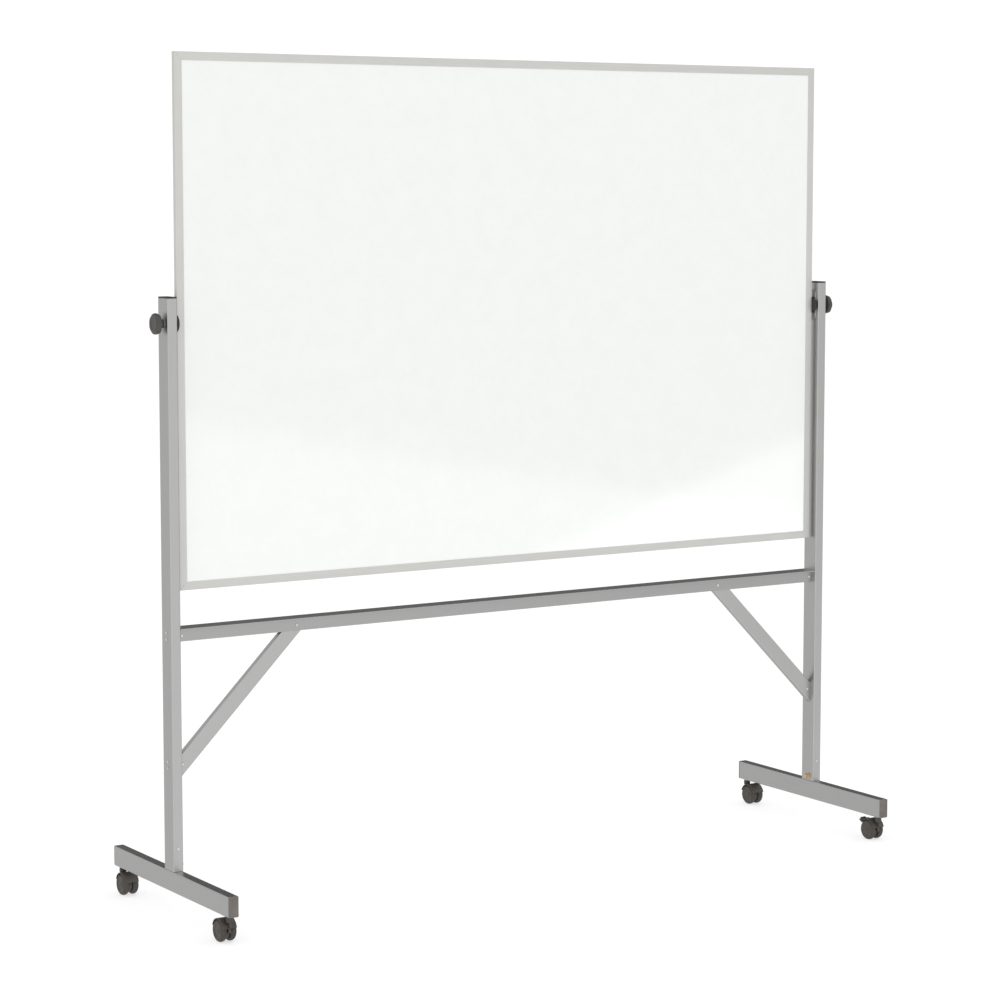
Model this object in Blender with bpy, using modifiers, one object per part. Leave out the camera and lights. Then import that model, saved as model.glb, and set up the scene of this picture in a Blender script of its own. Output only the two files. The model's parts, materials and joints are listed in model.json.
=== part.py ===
"""Rolling whiteboard: a double-sided board that flips between two posts on a wheeled stand.

Metres, +Z up. The floor is z = 0, the object is centred on x = 0 and y = 0, and the
board's front faces -Y. Run with: blender --background --python part.py
"""

import math

import bmesh
import bpy
from mathutils import Matrix, Vector

# Board
BOARD_WIDTH = 1.8415
BOARD_HEIGHT = 1.2265
BOARD_THICKNESS = 0.0127
BOARD_TOP = 1.9895
RAIL_FACE = 0.019
RAIL_LIP = 0.0010
RAIL_WEB = 0.0020
SHEET = 0.0004
PIVOT_BLOCK = (0.024, 0.040)

# Posts, feet and the parts between them
POST_X = 0.941
POST_TOP = 1.434
TUBE_WIDE = 0.025
TUBE_DEEP = 0.048
TUBE_WALL = 0.0016
TUBE_CORNER = 0.0020
POST_CAP = 0.0035
FOOT_LENGTH = 0.598
FOOT_PLUG = 0.050
FOOT_PLUG_FLANGE = 0.003
SPIGOT = (0.0206, 0.0438, 0.076)
SPIGOT_WALL = 0.0025

# Cross bar: an inverted channel under a wider top flange
BAR_TOP = 0.677
BAR_HEIGHT = 0.0315
BAR_DEPTH = 0.0475
BAR_FLANGE = 0.0035
BAR_WEB_OUT = 0.0100
BAR_WALL = 0.0016
BAR_EDGE = 0.0006

# Diagonal braces: flat tubes at 45 degrees, riveted on their centre line
BRACE_WIDE = 0.037
BRACE_THICK = 0.016
BRACE_WALL = 0.0016
BRACE_LINE = 1.278

# Rivets and cleats
RIVET_RADIUS = 0.0020
RIVET_SIDES = 8
RIVET_HEAD = 0.0036
RIVET_HEAD_HIGH = 0.0016
RIVET_PITCH = 0.0156
BAR_RIVET_Z = 0.6595
BAR_RIVET_X = 0.9190
BRACE_RIVET_Z = 0.3590
CLEAT_PLATE = 0.0025
SPIGOT_RIVET_Z = 0.165
BASE_BOLT_Z = 0.123
BOLT_RADIUS = 0.0038
BOLT_HOLE = 0.0043
BOLT_FLANGE = (0.0078, 0.0016)
BOLT_HEAD = (0.0068, 0.0080)

# Pivots and clamp knobs
STUD_RADIUS = 0.0030
STUD_LENGTH = 0.0740
STUD_HOLE = 0.0036
PIVOT_PLATE = (0.032, 0.080, 0.0022)
SPACER_RADIUS = 0.0215
WASHER_RADIUS = 0.0110
WASHER_THICK = 0.0016
KNOB_END = 0.978
KNOB_RADIUS = 0.0232
KNOB_LOBE = 0.0018
KNOB_LOBES = 7
KNOB_RIM = 0.0140
KNOB_HUB = 0.0105

# Casters
CASTER_HEIGHT = 0.063
CASTER_Y = 0.277
CASTER_TRAIL = 0.024
WHEEL_RADIUS = 0.0254
WHEEL_INNER = 0.0044
WHEEL_OUTER = 0.0190
WHEEL_SIDES = 24
AXLE_RADIUS = 0.0020
HOOD_OUTER = 0.0290
ROOM_RADIUS = 0.0264
FIN_RADIUS = 0.0276
HOOD_HALF_WIDTH = 0.0180
BODY_HALF_WIDTH = 0.0036
BODY_RADIUS = 0.0190
NECK_RADIUS = 0.0085
NECK_BOTTOM = 0.0360
NECK_TOP = 0.0600
STEM_RADIUS = 0.0045
STEM_LENGTH = 0.058
STEM_DROP = 0.018
STEM_COLLAR = 0.0080
HOOD_START = math.radians(72)
HOOD_END = math.radians(72)
BRAKED_HOOD_END = math.radians(36)
FIN_START = math.radians(94)
FIN_END = math.radians(57)
HOOD_INNER = 0.0220
LEVER_PIVOT_ANGLE = math.radians(52)
LEVER_PIVOT_RADIUS = 0.0295
LEVER_HUB = 0.0028
LEVER_CAM = 0.0037
LEVER_HALF_WIDTH = 0.0160
LEVER_PIN = 0.0016
EAR_RADIUS = 0.0042

# A piece that touches its neighbour stops this far short of it
GAP = 0.0003
HOLE_GAP = 0.0003

# Each cleat: its tab rivet, its own half sizes and length, and how far out the rivet's web is
CLEATS = {
    "bar": {
        "rivet": (BAR_RIVET_X, BAR_RIVET_Z),
        "half": (BAR_WEB_OUT - BAR_WALL - HOLE_GAP, 0.0130),
        "length": 0.018,
        "web": BAR_WEB_OUT,
    },
    "brace": {
        "rivet": (BRACE_LINE - BRACE_RIVET_Z, BRACE_RIVET_Z),
        "half": (BRACE_THICK / 2 - BRACE_WALL - HOLE_GAP, 0.0138),
        "length": 0.016,
        "web": BRACE_THICK / 2,
    },
}

PIVOT_Z = BOARD_TOP - BOARD_HEIGHT / 2
FOOT_TOP = CASTER_HEIGHT + TUBE_DEEP
POST_OUTER = POST_X + TUBE_WIDE / 2
POST_INNER = POST_X - TUBE_WIDE / 2
SIDES = {"left": -1, "right": 1}
ENDS = {"front": -1, "back": 1}
BRAKED = (("right", "front"),)

TURN_TO = {"X": (0, math.pi / 2, 0), "Y": (math.pi / 2, 0, 0), "Z": (0, 0, 0)}

COLOURS = {
    "post_alloy": ((0.40, 0.40, 0.395), 0.42, 0.85),
    "foot_alloy": ((0.37, 0.37, 0.365), 0.45, 0.85),
    "bar_alloy": ((0.39, 0.39, 0.385), 0.42, 0.85),
    "brace_alloy": ((0.44, 0.44, 0.435), 0.42, 0.85),
    "frame_alloy": ((0.60, 0.60, 0.58), 0.40, 0.80),
    "writing_white": ((0.90, 0.91, 0.90), 0.12, 0.0),
    "core_board": ((0.55, 0.47, 0.36), 0.85, 0.0),
    "black_plastic": ((0.035, 0.034, 0.032), 0.45, 0.0),
    "knob_plastic": ((0.070, 0.066, 0.060), 0.50, 0.0),
    "wheel_plastic": ((0.075, 0.071, 0.065), 0.50, 0.0),
    "hood_plastic": ((0.060, 0.057, 0.052), 0.50, 0.0),
    "plug_plastic": ((0.21, 0.19, 0.17), 0.60, 0.0),
    "cleat_alloy": ((0.55, 0.55, 0.54), 0.35, 0.90),
    "zinc_steel": ((0.55, 0.55, 0.56), 0.30, 1.0),
    "brass": ((0.66, 0.40, 0.13), 0.30, 1.0),
}


def clear_scene():
    for thing in list(bpy.data.objects):
        bpy.data.objects.remove(thing)


def collection(name):
    group = bpy.data.collections.new(name)
    bpy.context.scene.collection.children.link(group)
    return group


def make_material(name):
    colour, roughness, metallic = COLOURS[name]
    material = bpy.data.materials.new(name)
    material.use_nodes = True
    shader = material.node_tree.nodes["Principled BSDF"]
    shader.inputs["Base Color"].default_value = (*colour, 1)
    shader.inputs["Roughness"].default_value = roughness
    shader.inputs["Metallic"].default_value = metallic
    material.diffuse_color = (*colour, 1)
    return material


def new_object(name, mesh, group, location=(0, 0, 0), turn=(0, 0, 0)):
    thing = bpy.data.objects.new(name, mesh)
    thing.location = location
    thing.rotation_euler = turn
    group.objects.link(thing)
    return thing


def mesh_from(bm, name, smooth=False):
    mesh = bpy.data.meshes.new(name)
    bm.normal_update()
    bm.to_mesh(mesh)
    bm.free()
    if smooth:
        mesh.shade_smooth()
    return mesh


def finish(thing, material, parent=None):
    """Gives a part its own copy of a material and hangs it on its parent, where it stands."""
    copy = MATERIALS[material].copy()
    copy.name = thing.name
    thing.data.materials.append(copy)
    if parent:
        thing.parent = parent
        thing.location = Vector(thing.location) - parent.location
    return thing


def as_tool(thing):
    """Turns an object into one that only cuts or joins."""
    for owner in list(thing.users_collection):
        owner.objects.unlink(thing)
    TOOLS.objects.link(thing)
    thing.hide_render = True
    thing.display_type = "WIRE"
    return thing


def boolean(thing, tool, operation):
    modifier = thing.modifiers.new(tool.name, "BOOLEAN")
    modifier.operation = operation
    modifier.object = as_tool(tool)
    modifier.solver = "EXACT"


def cut(thing, *tools):
    for tool in tools:
        boolean(thing, tool, "DIFFERENCE")


def fuse(thing, *tools):
    for tool in tools:
        boolean(thing, tool, "UNION")


def block(name, low, high, round_by=0.0):
    """A box between two corners, its origin at its middle."""
    low, high = Vector(low), Vector(high)
    bm = bmesh.new()
    bmesh.ops.create_cube(bm, size=1)
    bmesh.ops.scale(bm, vec=high - low, verts=bm.verts)
    thing = new_object(name, mesh_from(bm, name), PARTS, (low + high) / 2)
    if round_by:
        round_edges(thing, round_by)
    return thing


def rod(name, centre, axis, radius, length, sides=16, end_radius=None):
    """A cylinder or, with an end radius, a cone along an axis."""
    bm = bmesh.new()
    bmesh.ops.create_cone(
        bm,
        cap_ends=True,
        segments=sides,
        radius1=radius,
        radius2=radius if end_radius is None else end_radius,
        depth=length,
    )
    return new_object(name, mesh_from(bm, name, True), PARTS, centre, TURN_TO[axis])


def rounded_rectangle(wide, high, radius, steps=2):
    corners = []
    for quarter, (sx, sy) in enumerate(((1, 1), (-1, 1), (-1, -1), (1, -1))):
        for step in range(steps + 1):
            angle = math.pi / 2 * (quarter + step / steps)
            x = sx * (wide / 2 - radius) + radius * math.cos(angle)
            y = sy * (high / 2 - radius) + radius * math.sin(angle)
            corners.append((x, y))
    return corners


def circle(radius, sides=16, centre=(0, 0)):
    angles = [2 * math.pi * n / sides for n in range(sides)]
    return [(centre[0] + radius * math.cos(a), centre[1] + radius * math.sin(a)) for a in angles]


def arc(radius, start, stop, steps, centre=(0, 0)):
    angles = [start + (stop - start) * n / steps for n in range(steps + 1)]
    return [(centre[0] + radius * math.cos(a), centre[1] + radius * math.sin(a)) for a in angles]


def extruded(name, outlines, length, axis, centre, smooth=False):
    """A flat outline, with holes where more outlines lie inside it, pulled along an axis.

    The outline's two coordinates are X and Y for axis Z, X and Z for axis Y, and
    Y and Z for axis X.
    """
    curve = bpy.data.curves.new(name, "CURVE")
    curve.dimensions = "2D"
    curve.fill_mode = "BOTH"
    curve.extrude = length / 2
    for outline in outlines:
        spline = curve.splines.new("POLY")
        spline.points.add(len(outline) - 1)
        spline.use_cyclic_u = True
        for point, (u, v) in zip(spline.points, outline):
            point.co = (u, v, 0, 1)
    drawn = bpy.data.objects.new(name + "_outline", curve)
    PARTS.objects.link(drawn)
    bpy.context.view_layer.update()
    evaluated = drawn.evaluated_get(bpy.context.evaluated_depsgraph_get())
    mesh = bpy.data.meshes.new_from_object(evaluated)
    bm = bmesh.new()
    bm.from_mesh(mesh)
    bmesh.ops.remove_doubles(bm, verts=bm.verts, dist=1e-6)
    if len(outlines) == 1:
        bmesh.ops.dissolve_limit(bm, angle_limit=0.01, verts=bm.verts, edges=bm.edges)
    standing = {
        "Z": Matrix.Identity(3),
        "Y": Matrix.Rotation(math.pi / 2, 3, "X"),
        "X": Matrix(((0, 0, 1), (1, 0, 0), (0, 1, 0))),
    }[axis]
    bmesh.ops.transform(bm, matrix=drawn.matrix_world @ standing.to_4x4(), verts=bm.verts)
    bmesh.ops.recalc_face_normals(bm, faces=bm.faces)
    bpy.data.objects.remove(drawn)
    return new_object(name, mesh_from(bm, name, smooth), PARTS, centre)


def turned(name, profile, axis, centre, sides=20, closed=True):
    """A profile of (radius, distance along the axis) points, spun once round the axis.

    A closed profile is joined back to its start; an open one starts and ends on the axis.
    """
    bm = bmesh.new()
    verts = [bm.verts.new((radius, 0, along)) for radius, along in profile]
    following = verts[1:] + verts[:1] if closed else verts[1:]
    for start, end in zip(verts, following):
        bm.edges.new((start, end))
    thing = new_object(name, mesh_from(bm, name), PARTS, centre, TURN_TO[axis])
    screw = thing.modifiers.new("Turn", "SCREW")
    screw.axis = "Z"
    screw.steps = sides
    screw.render_steps = sides
    screw.use_merge_vertices = True
    screw.merge_threshold = 0.00001
    screw.use_smooth_shade = True
    screw.use_normal_flip = True
    return thing


def round_edges(thing, by, segments=1, angle=50):
    bevel = thing.modifiers.new("Rounded", "BEVEL")
    bevel.width = by
    bevel.segments = segments
    bevel.limit_method = "ANGLE"
    bevel.angle_limit = math.radians(angle)


def rivet_head(name, centre, axis, outward):
    """A low round head whose flat side faces back along the axis."""
    base, top = RIVET_HEAD, RIVET_HEAD * 0.62
    if outward < 0:
        base, top = top, base
    if axis == "Y":
        base, top = top, base
    return rod(name, centre, axis, base, RIVET_HEAD_HIGH, RIVET_SIDES, top)


def tube_section():
    outer = rounded_rectangle(TUBE_WIDE, TUBE_DEEP, TUBE_CORNER)
    inner = rounded_rectangle(TUBE_WIDE - 2 * TUBE_WALL, TUBE_DEEP - 2 * TUBE_WALL, 0.0006, 1)
    return [outer, inner]


# ---------------------------------------------------------------- stand


def make_post(side, sign):
    bottom = FOOT_TOP + GAP
    length = POST_TOP - bottom
    x = sign * POST_X
    post = extruded(f"{side}_post", tube_section(), length, "Z", (x, 0, bottom + length / 2))
    across = 1.5 * TUBE_WIDE
    cut(post, rod(f"{side}_stud_hole", (x, 0, PIVOT_Z), "X", STUD_HOLE, across))
    radius = RIVET_RADIUS + HOLE_GAP
    for label, cleat_sizes in CLEATS.items():
        for step in (-1, 1):
            name = f"{side}_{label}_rivet_hole_{step}"
            z = cleat_sizes["rivet"][1] + step * RIVET_PITCH / 2
            cut(post, rod(name, (x, 0, z), "X", radius, across, RIVET_SIDES))
    spigot_hole = rod(
        f"{side}_spigot_rivet_hole",
        (x, 0, SPIGOT_RIVET_Z),
        "Y",
        radius,
        1.5 * TUBE_DEEP,
        RIVET_SIDES,
    )
    bolt_place = (sign * POST_INNER, 0, BASE_BOLT_Z)
    bolt_hole = rod(f"{side}_base_bolt_hole", bolt_place, "X", BOLT_HOLE, 0.01)
    cut(post, spigot_hole, bolt_hole)
    finish(post, "post_alloy")


def make_post_cap(side, sign):
    x = sign * POST_X
    cap = block(
        f"{side}_post_cap",
        (x - TUBE_WIDE / 2, -TUBE_DEEP / 2, POST_TOP + GAP),
        (x + TUBE_WIDE / 2, TUBE_DEEP / 2, POST_TOP + POST_CAP),
        0.0010,
    )
    half_wide = TUBE_WIDE / 2 - TUBE_WALL - HOLE_GAP
    half_deep = TUBE_DEEP / 2 - TUBE_WALL - HOLE_GAP
    plug = block(
        f"{side}_cap_plug",
        (x - half_wide, -half_deep, POST_TOP - 0.016),
        (x + half_wide, half_deep, POST_TOP + 0.0015),
    )
    hollow = block(
        f"{side}_cap_hollow",
        (x - half_wide + 0.0018, -half_deep + 0.0018, POST_TOP - 0.02),
        (x + half_wide - 0.0018, half_deep - 0.0018, POST_TOP),
    )
    fuse(cap, plug)
    cut(cap, hollow)
    finish(cap, "black_plastic")


def make_foot(side, sign):
    """The floor tube, with the spigot that the post stands on welded to its top."""
    x = sign * POST_X
    length = FOOT_LENGTH - 2 * FOOT_PLUG_FLANGE
    foot = extruded(
        f"{side}_foot", tube_section(), length, "Y", (x, 0, CASTER_HEIGHT + TUBE_DEEP / 2)
    )
    wide, deep, high = SPIGOT
    root = FOOT_TOP - TUBE_WALL / 2
    spigot = block(
        f"{side}_spigot", (x - wide / 2, -deep / 2, root), (x + wide / 2, deep / 2, FOOT_TOP + high)
    )
    inner_wide, inner_deep = wide / 2 - SPIGOT_WALL, deep / 2 - SPIGOT_WALL
    bore = block(
        f"{side}_spigot_bore",
        (x - inner_wide, -inner_deep, FOOT_TOP + 0.002),
        (x + inner_wide, inner_deep, FOOT_TOP + high + 0.01),
    )
    bolt_place = (sign * (POST_X - wide / 2), 0, BASE_BOLT_Z)
    bolt_hole = rod(f"{side}_spigot_bolt_hole", bolt_place, "X", BOLT_HOLE, 0.009)
    fuse(foot, spigot)
    cut(foot, bore, bolt_hole)
    for end, direction in ENDS.items():
        face = direction * (TUBE_DEEP / 2 + GAP)
        shank_start = direction * (deep / 2 - SPIGOT_WALL / 2)
        shank = rod(
            f"{side}_{end}_spigot_shank",
            (x, (face + shank_start) / 2, SPIGOT_RIVET_Z),
            "Y",
            RIVET_RADIUS,
            abs(face - shank_start) + 0.0005,
            RIVET_SIDES,
        )
        head = rivet_head(
            f"{side}_{end}_spigot_head",
            (x, face + direction * RIVET_HEAD_HIGH / 2, SPIGOT_RIVET_Z),
            "Y",
            direction,
        )
        fuse(foot, shank, head)
        stem_hole = rod(
            f"{side}_{end}_foot_stem_hole",
            (x, direction * CASTER_Y, CASTER_HEIGHT),
            "Z",
            STEM_RADIUS + 0.0006,
            0.006,
            12,
        )
        cut(foot, stem_hole)
    finish(foot, "foot_alloy")


def make_foot_plug(side, sign, end, direction):
    """The moulded end plug of a foot; its bore holds the caster's stem."""
    x = sign * POST_X
    middle = CASTER_HEIGHT + TUBE_DEEP / 2
    outer_y = direction * FOOT_LENGTH / 2
    flange_y = direction * (FOOT_LENGTH / 2 - FOOT_PLUG_FLANGE + GAP)
    flange_low, flange_high = sorted((outer_y, flange_y))
    flange = block(
        f"{side}_{end}_foot_plug",
        (x - TUBE_WIDE / 2, flange_low, CASTER_HEIGHT),
        (x + TUBE_WIDE / 2, flange_high, FOOT_TOP),
        0.0009,
    )
    half_wide = TUBE_WIDE / 2 - TUBE_WALL - HOLE_GAP
    half_high = TUBE_DEEP / 2 - TUBE_WALL - HOLE_GAP
    body_low, body_high = sorted((flange_y + direction * 0.001, outer_y - direction * FOOT_PLUG))
    body = block(
        f"{side}_{end}_plug_body",
        (x - half_wide, body_low, middle - half_high),
        (x + half_wide, body_high, middle + half_high),
    )
    bore = rod(
        f"{side}_{end}_plug_bore",
        (x, direction * CASTER_Y, middle - 0.006),
        "Z",
        STEM_RADIUS + HOLE_GAP,
        TUBE_DEEP,
        12,
    )
    fuse(flange, body)
    cut(flange, bore)
    finish(flange, "plug_plastic")


def make_cross_bar():
    """An inverted channel under a wider flange: open underneath, between its two webs."""
    half = POST_INNER - GAP
    under = BAR_TOP - BAR_FLANGE
    bottom = BAR_TOP - BAR_HEIGHT
    web_in = BAR_WEB_OUT - BAR_WALL
    bar = block(
        "cross_bar",
        (-half, -BAR_DEPTH / 2, under),
        (half, BAR_DEPTH / 2, BAR_TOP),
        BAR_EDGE,
    )
    webs = block(
        "bar_webs",
        (-half, -BAR_WEB_OUT, bottom),
        (half, BAR_WEB_OUT, BAR_TOP - BAR_FLANGE / 2),
    )
    channel = block("bar_channel", (-1, -web_in, bottom - 0.01), (1, web_in, under))
    fuse(bar, webs)
    cut(bar, channel)
    for side, sign in SIDES.items():
        for label, x in (("end", BAR_RIVET_X), ("brace", BRACE_LINE - BAR_RIVET_Z)):
            hole = rod(
                f"{side}_{label}_bar_hole",
                (sign * x, 0, BAR_RIVET_Z),
                "Y",
                RIVET_RADIUS + HOLE_GAP,
                BAR_DEPTH,
                RIVET_SIDES,
            )
            cut(bar, hole)
    finish(bar, "bar_alloy")


def make_brace(side, sign):
    """A flat tube from the post up into the cross bar's channel, with its upper rivet."""
    reach = BRACE_WIDE / math.sqrt(2)
    foot_x = POST_INNER - GAP
    head_z = BAR_TOP - BAR_FLANGE - GAP
    outline = [
        (sign * foot_x, BRACE_LINE - reach - foot_x),
        (sign * foot_x, BRACE_LINE + reach - foot_x),
        (sign * (BRACE_LINE + reach - head_z), head_z),
        (sign * (BRACE_LINE - reach - head_z), head_z),
    ]
    brace = extruded(f"{side}_brace", [outline], BRACE_THICK, "Y", (0, 0, 0))
    middle = (foot_x + BRACE_LINE - head_z) / 2
    hollow = block(
        f"{side}_brace_hollow",
        (-0.5, -BRACE_THICK / 2 + BRACE_WALL, -BRACE_WIDE / 2 + BRACE_WALL),
        (0.5, BRACE_THICK / 2 - BRACE_WALL, BRACE_WIDE / 2 - BRACE_WALL),
    )
    hollow.location = (sign * middle, 0, BRACE_LINE - middle)
    hollow.rotation_euler = (0, sign * math.pi / 4, 0)
    lower_hole = rod(
        f"{side}_brace_rivet_hole",
        (sign * (BRACE_LINE - BRACE_RIVET_Z), 0, BRACE_RIVET_Z),
        "Y",
        RIVET_RADIUS + HOLE_GAP,
        2 * BRACE_THICK,
        RIVET_SIDES,
    )
    cut(brace, hollow, lower_hole)
    head_y = BAR_WEB_OUT + GAP
    x = sign * (BRACE_LINE - BAR_RIVET_Z)
    shank = rod(
        f"{side}_brace_shank",
        (x, 0, BAR_RIVET_Z),
        "Y",
        RIVET_RADIUS,
        2 * head_y + RIVET_HEAD_HIGH / 2,
        RIVET_SIDES,
    )
    fuse(brace, shank)
    for end, direction in ENDS.items():
        centre = (x, direction * (head_y + RIVET_HEAD_HIGH / 2), BAR_RIVET_Z)
        fuse(brace, rivet_head(f"{side}_{end}_brace_head", centre, "Y", direction))
    finish(brace, "brace_alloy")


def make_cleat(side, sign, label):
    """A folded cleat on the post's inner face, riveted through the post and through its tabs."""
    cleat_sizes = CLEATS[label]
    rivet_x, level = cleat_sizes["rivet"]
    half_width, half_height = cleat_sizes["half"]
    face = POST_INNER - GAP
    far = face - cleat_sizes["length"]
    low_x, high_x = sorted((sign * face, sign * far))
    cleat = block(
        f"{side}_{label}_cleat",
        (low_x, -half_width, level - half_height),
        (high_x, half_width, level + half_height),
    )
    slot_low, slot_high = sorted((sign * (face - CLEAT_PLATE), sign * (far - 0.01)))
    slot = block(
        f"{side}_{label}_cleat_slot",
        (slot_low, -half_width + CLEAT_PLATE, level - 0.05),
        (slot_high, half_width - CLEAT_PLATE, level + 0.05),
    )
    cut(cleat, slot)
    head_face = POST_OUTER + GAP
    for step in (-1, 1):
        z = level + step * RIVET_PITCH / 2
        inner = face - CLEAT_PLATE / 2
        shank = rod(
            f"{side}_{label}_post_shank_{step}",
            (sign * (inner + head_face) / 2, 0, z),
            "X",
            RIVET_RADIUS,
            head_face - inner + 0.0006,
            RIVET_SIDES,
        )
        head = rivet_head(
            f"{side}_{label}_post_head_{step}",
            (sign * (head_face + RIVET_HEAD_HIGH / 2), 0, z),
            "X",
            sign,
        )
        fuse(cleat, shank, head)
    head_y = cleat_sizes["web"] + GAP
    across = rod(
        f"{side}_{label}_tab_shank",
        (sign * rivet_x, 0, level),
        "Y",
        RIVET_RADIUS,
        2 * head_y + RIVET_HEAD_HIGH / 2,
        RIVET_SIDES,
    )
    fuse(cleat, across)
    for end, direction in ENDS.items():
        centre = (sign * rivet_x, direction * (head_y + RIVET_HEAD_HIGH / 2), level)
        fuse(cleat, rivet_head(f"{side}_{label}_{end}_tab_head", centre, "Y", direction))
    finish(cleat, "cleat_alloy")


def make_base_bolt(side, sign):
    """The hex bolt low on the post's inner face that clamps the post to its spigot."""
    face = POST_INNER - GAP
    flange_radius, flange = BOLT_FLANGE
    hex_radius, hex_length = BOLT_HEAD
    shank_length = 0.0096
    hex_x = face - flange / 2 - hex_length / 2
    shank_x = face - flange / 2 + shank_length / 2
    places = [(sign * x, 0, BASE_BOLT_Z) for x in (face - flange / 2, hex_x, shank_x)]
    bolt = rod(f"{side}_base_bolt", places[0], "X", flange_radius, flange, 20)
    head = rod(f"{side}_bolt_head", places[1], "X", hex_radius, hex_length, 6)
    shank = rod(f"{side}_bolt_shank", places[2], "X", BOLT_RADIUS, shank_length)
    fuse(bolt, head, shank)
    finish(bolt, "brass")


def make_pivot_plate(side, sign):
    wide, high, thick = PIVOT_PLATE
    bend = high / 2 - wide / 2
    stadium = arc(wide / 2, 0, math.pi, 8, (0, bend)) + arc(
        wide / 2, math.pi, 2 * math.pi, 8, (0, -bend)
    )
    x = sign * (POST_INNER - GAP - thick / 2)
    plate = extruded(
        f"{side}_pivot_plate", [stadium, circle(STUD_HOLE)], thick, "X", (x, 0, PIVOT_Z)
    )
    finish(plate, "post_alloy")


def make_stem(side, sign, end, direction):
    """The steel stem: pressed into the foot's plug, with the collar that the caster turns under."""
    x, y = sign * POST_X, direction * CASTER_Y
    bottom = CASTER_HEIGHT - STEM_DROP
    collar = CASTER_HEIGHT - GAP
    top = bottom + STEM_LENGTH
    profile = [
        (0.0, bottom),
        (STEM_RADIUS, bottom),
        (STEM_RADIUS, NECK_TOP + GAP),
        (STEM_COLLAR, NECK_TOP + GAP),
        (STEM_COLLAR, collar),
        (STEM_RADIUS, collar),
        (STEM_RADIUS, top - 0.001),
        (STEM_RADIUS - 0.001, top),
        (0.0, top),
    ]
    stem = turned(f"{side}_{end}_caster_stem", profile, "Z", (x, y, 0), 12, closed=False)
    finish(stem, "zinc_steel")


def make_stand():
    for side, sign in SIDES.items():
        make_post(side, sign)
        make_post_cap(side, sign)
        make_foot(side, sign)
        make_brace(side, sign)
        for label in CLEATS:
            make_cleat(side, sign, label)
        make_base_bolt(side, sign)
        make_pivot_plate(side, sign)
        for end, direction in ENDS.items():
            make_foot_plug(side, sign, end, direction)
            make_stem(side, sign, end, direction)
    make_cross_bar()


# ---------------------------------------------------------------- board


def rail_section():
    """A channel that opens towards the board's middle, seen along the rail; 0 is its outer edge."""
    half = BOARD_THICKNESS / 2
    round_by = 0.0008
    right = [
        (half - round_by, 0),
        (half, -round_by),
        (half, -RAIL_FACE),
        (half - RAIL_LIP, -RAIL_FACE),
        (half - RAIL_LIP, -RAIL_WEB),
    ]
    return right + [(-y, z) for y, z in reversed(right)]


def make_rail(name, length, reach, turn, pivot):
    """A mitred rail: its ends lean in at 45 degrees as the section gets deeper."""
    rail = extruded(name, [rail_section()], length, "X", (0, 0, 0))
    for vertex in rail.data.vertices:
        end = length / 2 - GAP / math.sqrt(2) + vertex.co.z
        vertex.co.x = math.copysign(end, vertex.co.x)
    outward = Vector((math.sin(turn), 0, math.cos(turn)))
    rail.rotation_euler = (0, turn, 0)
    rail.location = Vector((0, 0, PIVOT_Z)) + outward * reach
    if abs(outward.x) > 0.5:
        cut(rail, rod(name + "_stud_hole", (outward.x * reach, 0, PIVOT_Z), "X", STUD_HOLE, 0.02))
    finish(rail, "frame_alloy", pivot)


def make_board(pivot):
    half_wide = BOARD_WIDTH / 2 - RAIL_WEB - GAP
    half_high = BOARD_HEIGHT / 2 - RAIL_WEB - GAP
    sheet_out = BOARD_THICKNESS / 2 - RAIL_LIP - GAP
    sheet_in = sheet_out - SHEET
    core_half = sheet_in - GAP
    core = block(
        "board_core",
        (-half_wide, -core_half, PIVOT_Z - half_high),
        (half_wide, core_half, PIVOT_Z + half_high),
    )
    deep, high = PIVOT_BLOCK
    for side, sign in SIDES.items():
        inner = half_wide - deep
        low_x, high_x = sorted((sign * half_wide, sign * inner))
        threaded_block = block(
            f"{side}_pivot_block",
            (low_x, -core_half, PIVOT_Z - high / 2),
            (high_x, core_half, PIVOT_Z + high / 2),
        )
        stud_bore = rod(
            f"{side}_block_bore", (sign * half_wide, 0, PIVOT_Z), "X", STUD_RADIUS + HOLE_GAP, 0.1
        )
        cut(threaded_block, stud_bore)
        pocket_low, pocket_high = sorted((sign * (half_wide + 0.01), sign * (inner - GAP)))
        pocket = block(
            f"{side}_core_pocket",
            (pocket_low, -0.02, PIVOT_Z - high / 2 - GAP),
            (pocket_high, 0.02, PIVOT_Z + high / 2 + GAP),
        )
        stud_room = rod(
            f"{side}_core_stud_room", (sign * (inner - 0.01), 0, PIVOT_Z), "X", STUD_HOLE, 0.03
        )
        cut(core, pocket, stud_room)
        finish(threaded_block, "zinc_steel", pivot)
        make_spacer(side, sign, pivot)
    finish(core, "core_board", pivot)
    for name, direction in (("front_writing_sheet", -1), ("back_writing_sheet", 1)):
        low_y, high_y = sorted((direction * sheet_in, direction * sheet_out))
        sheet = block(
            name,
            (-half_wide, low_y, PIVOT_Z - half_high),
            (half_wide, high_y, PIVOT_Z + half_high),
        )
        finish(sheet, "writing_white", pivot)
    make_rail("top_rail", BOARD_WIDTH, BOARD_HEIGHT / 2, 0, pivot)
    make_rail("bottom_rail", BOARD_WIDTH, BOARD_HEIGHT / 2, math.pi, pivot)
    make_rail("right_rail", BOARD_HEIGHT, BOARD_WIDTH / 2, math.pi / 2, pivot)
    make_rail("left_rail", BOARD_HEIGHT, BOARD_WIDTH / 2, -math.pi / 2, pivot)


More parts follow.
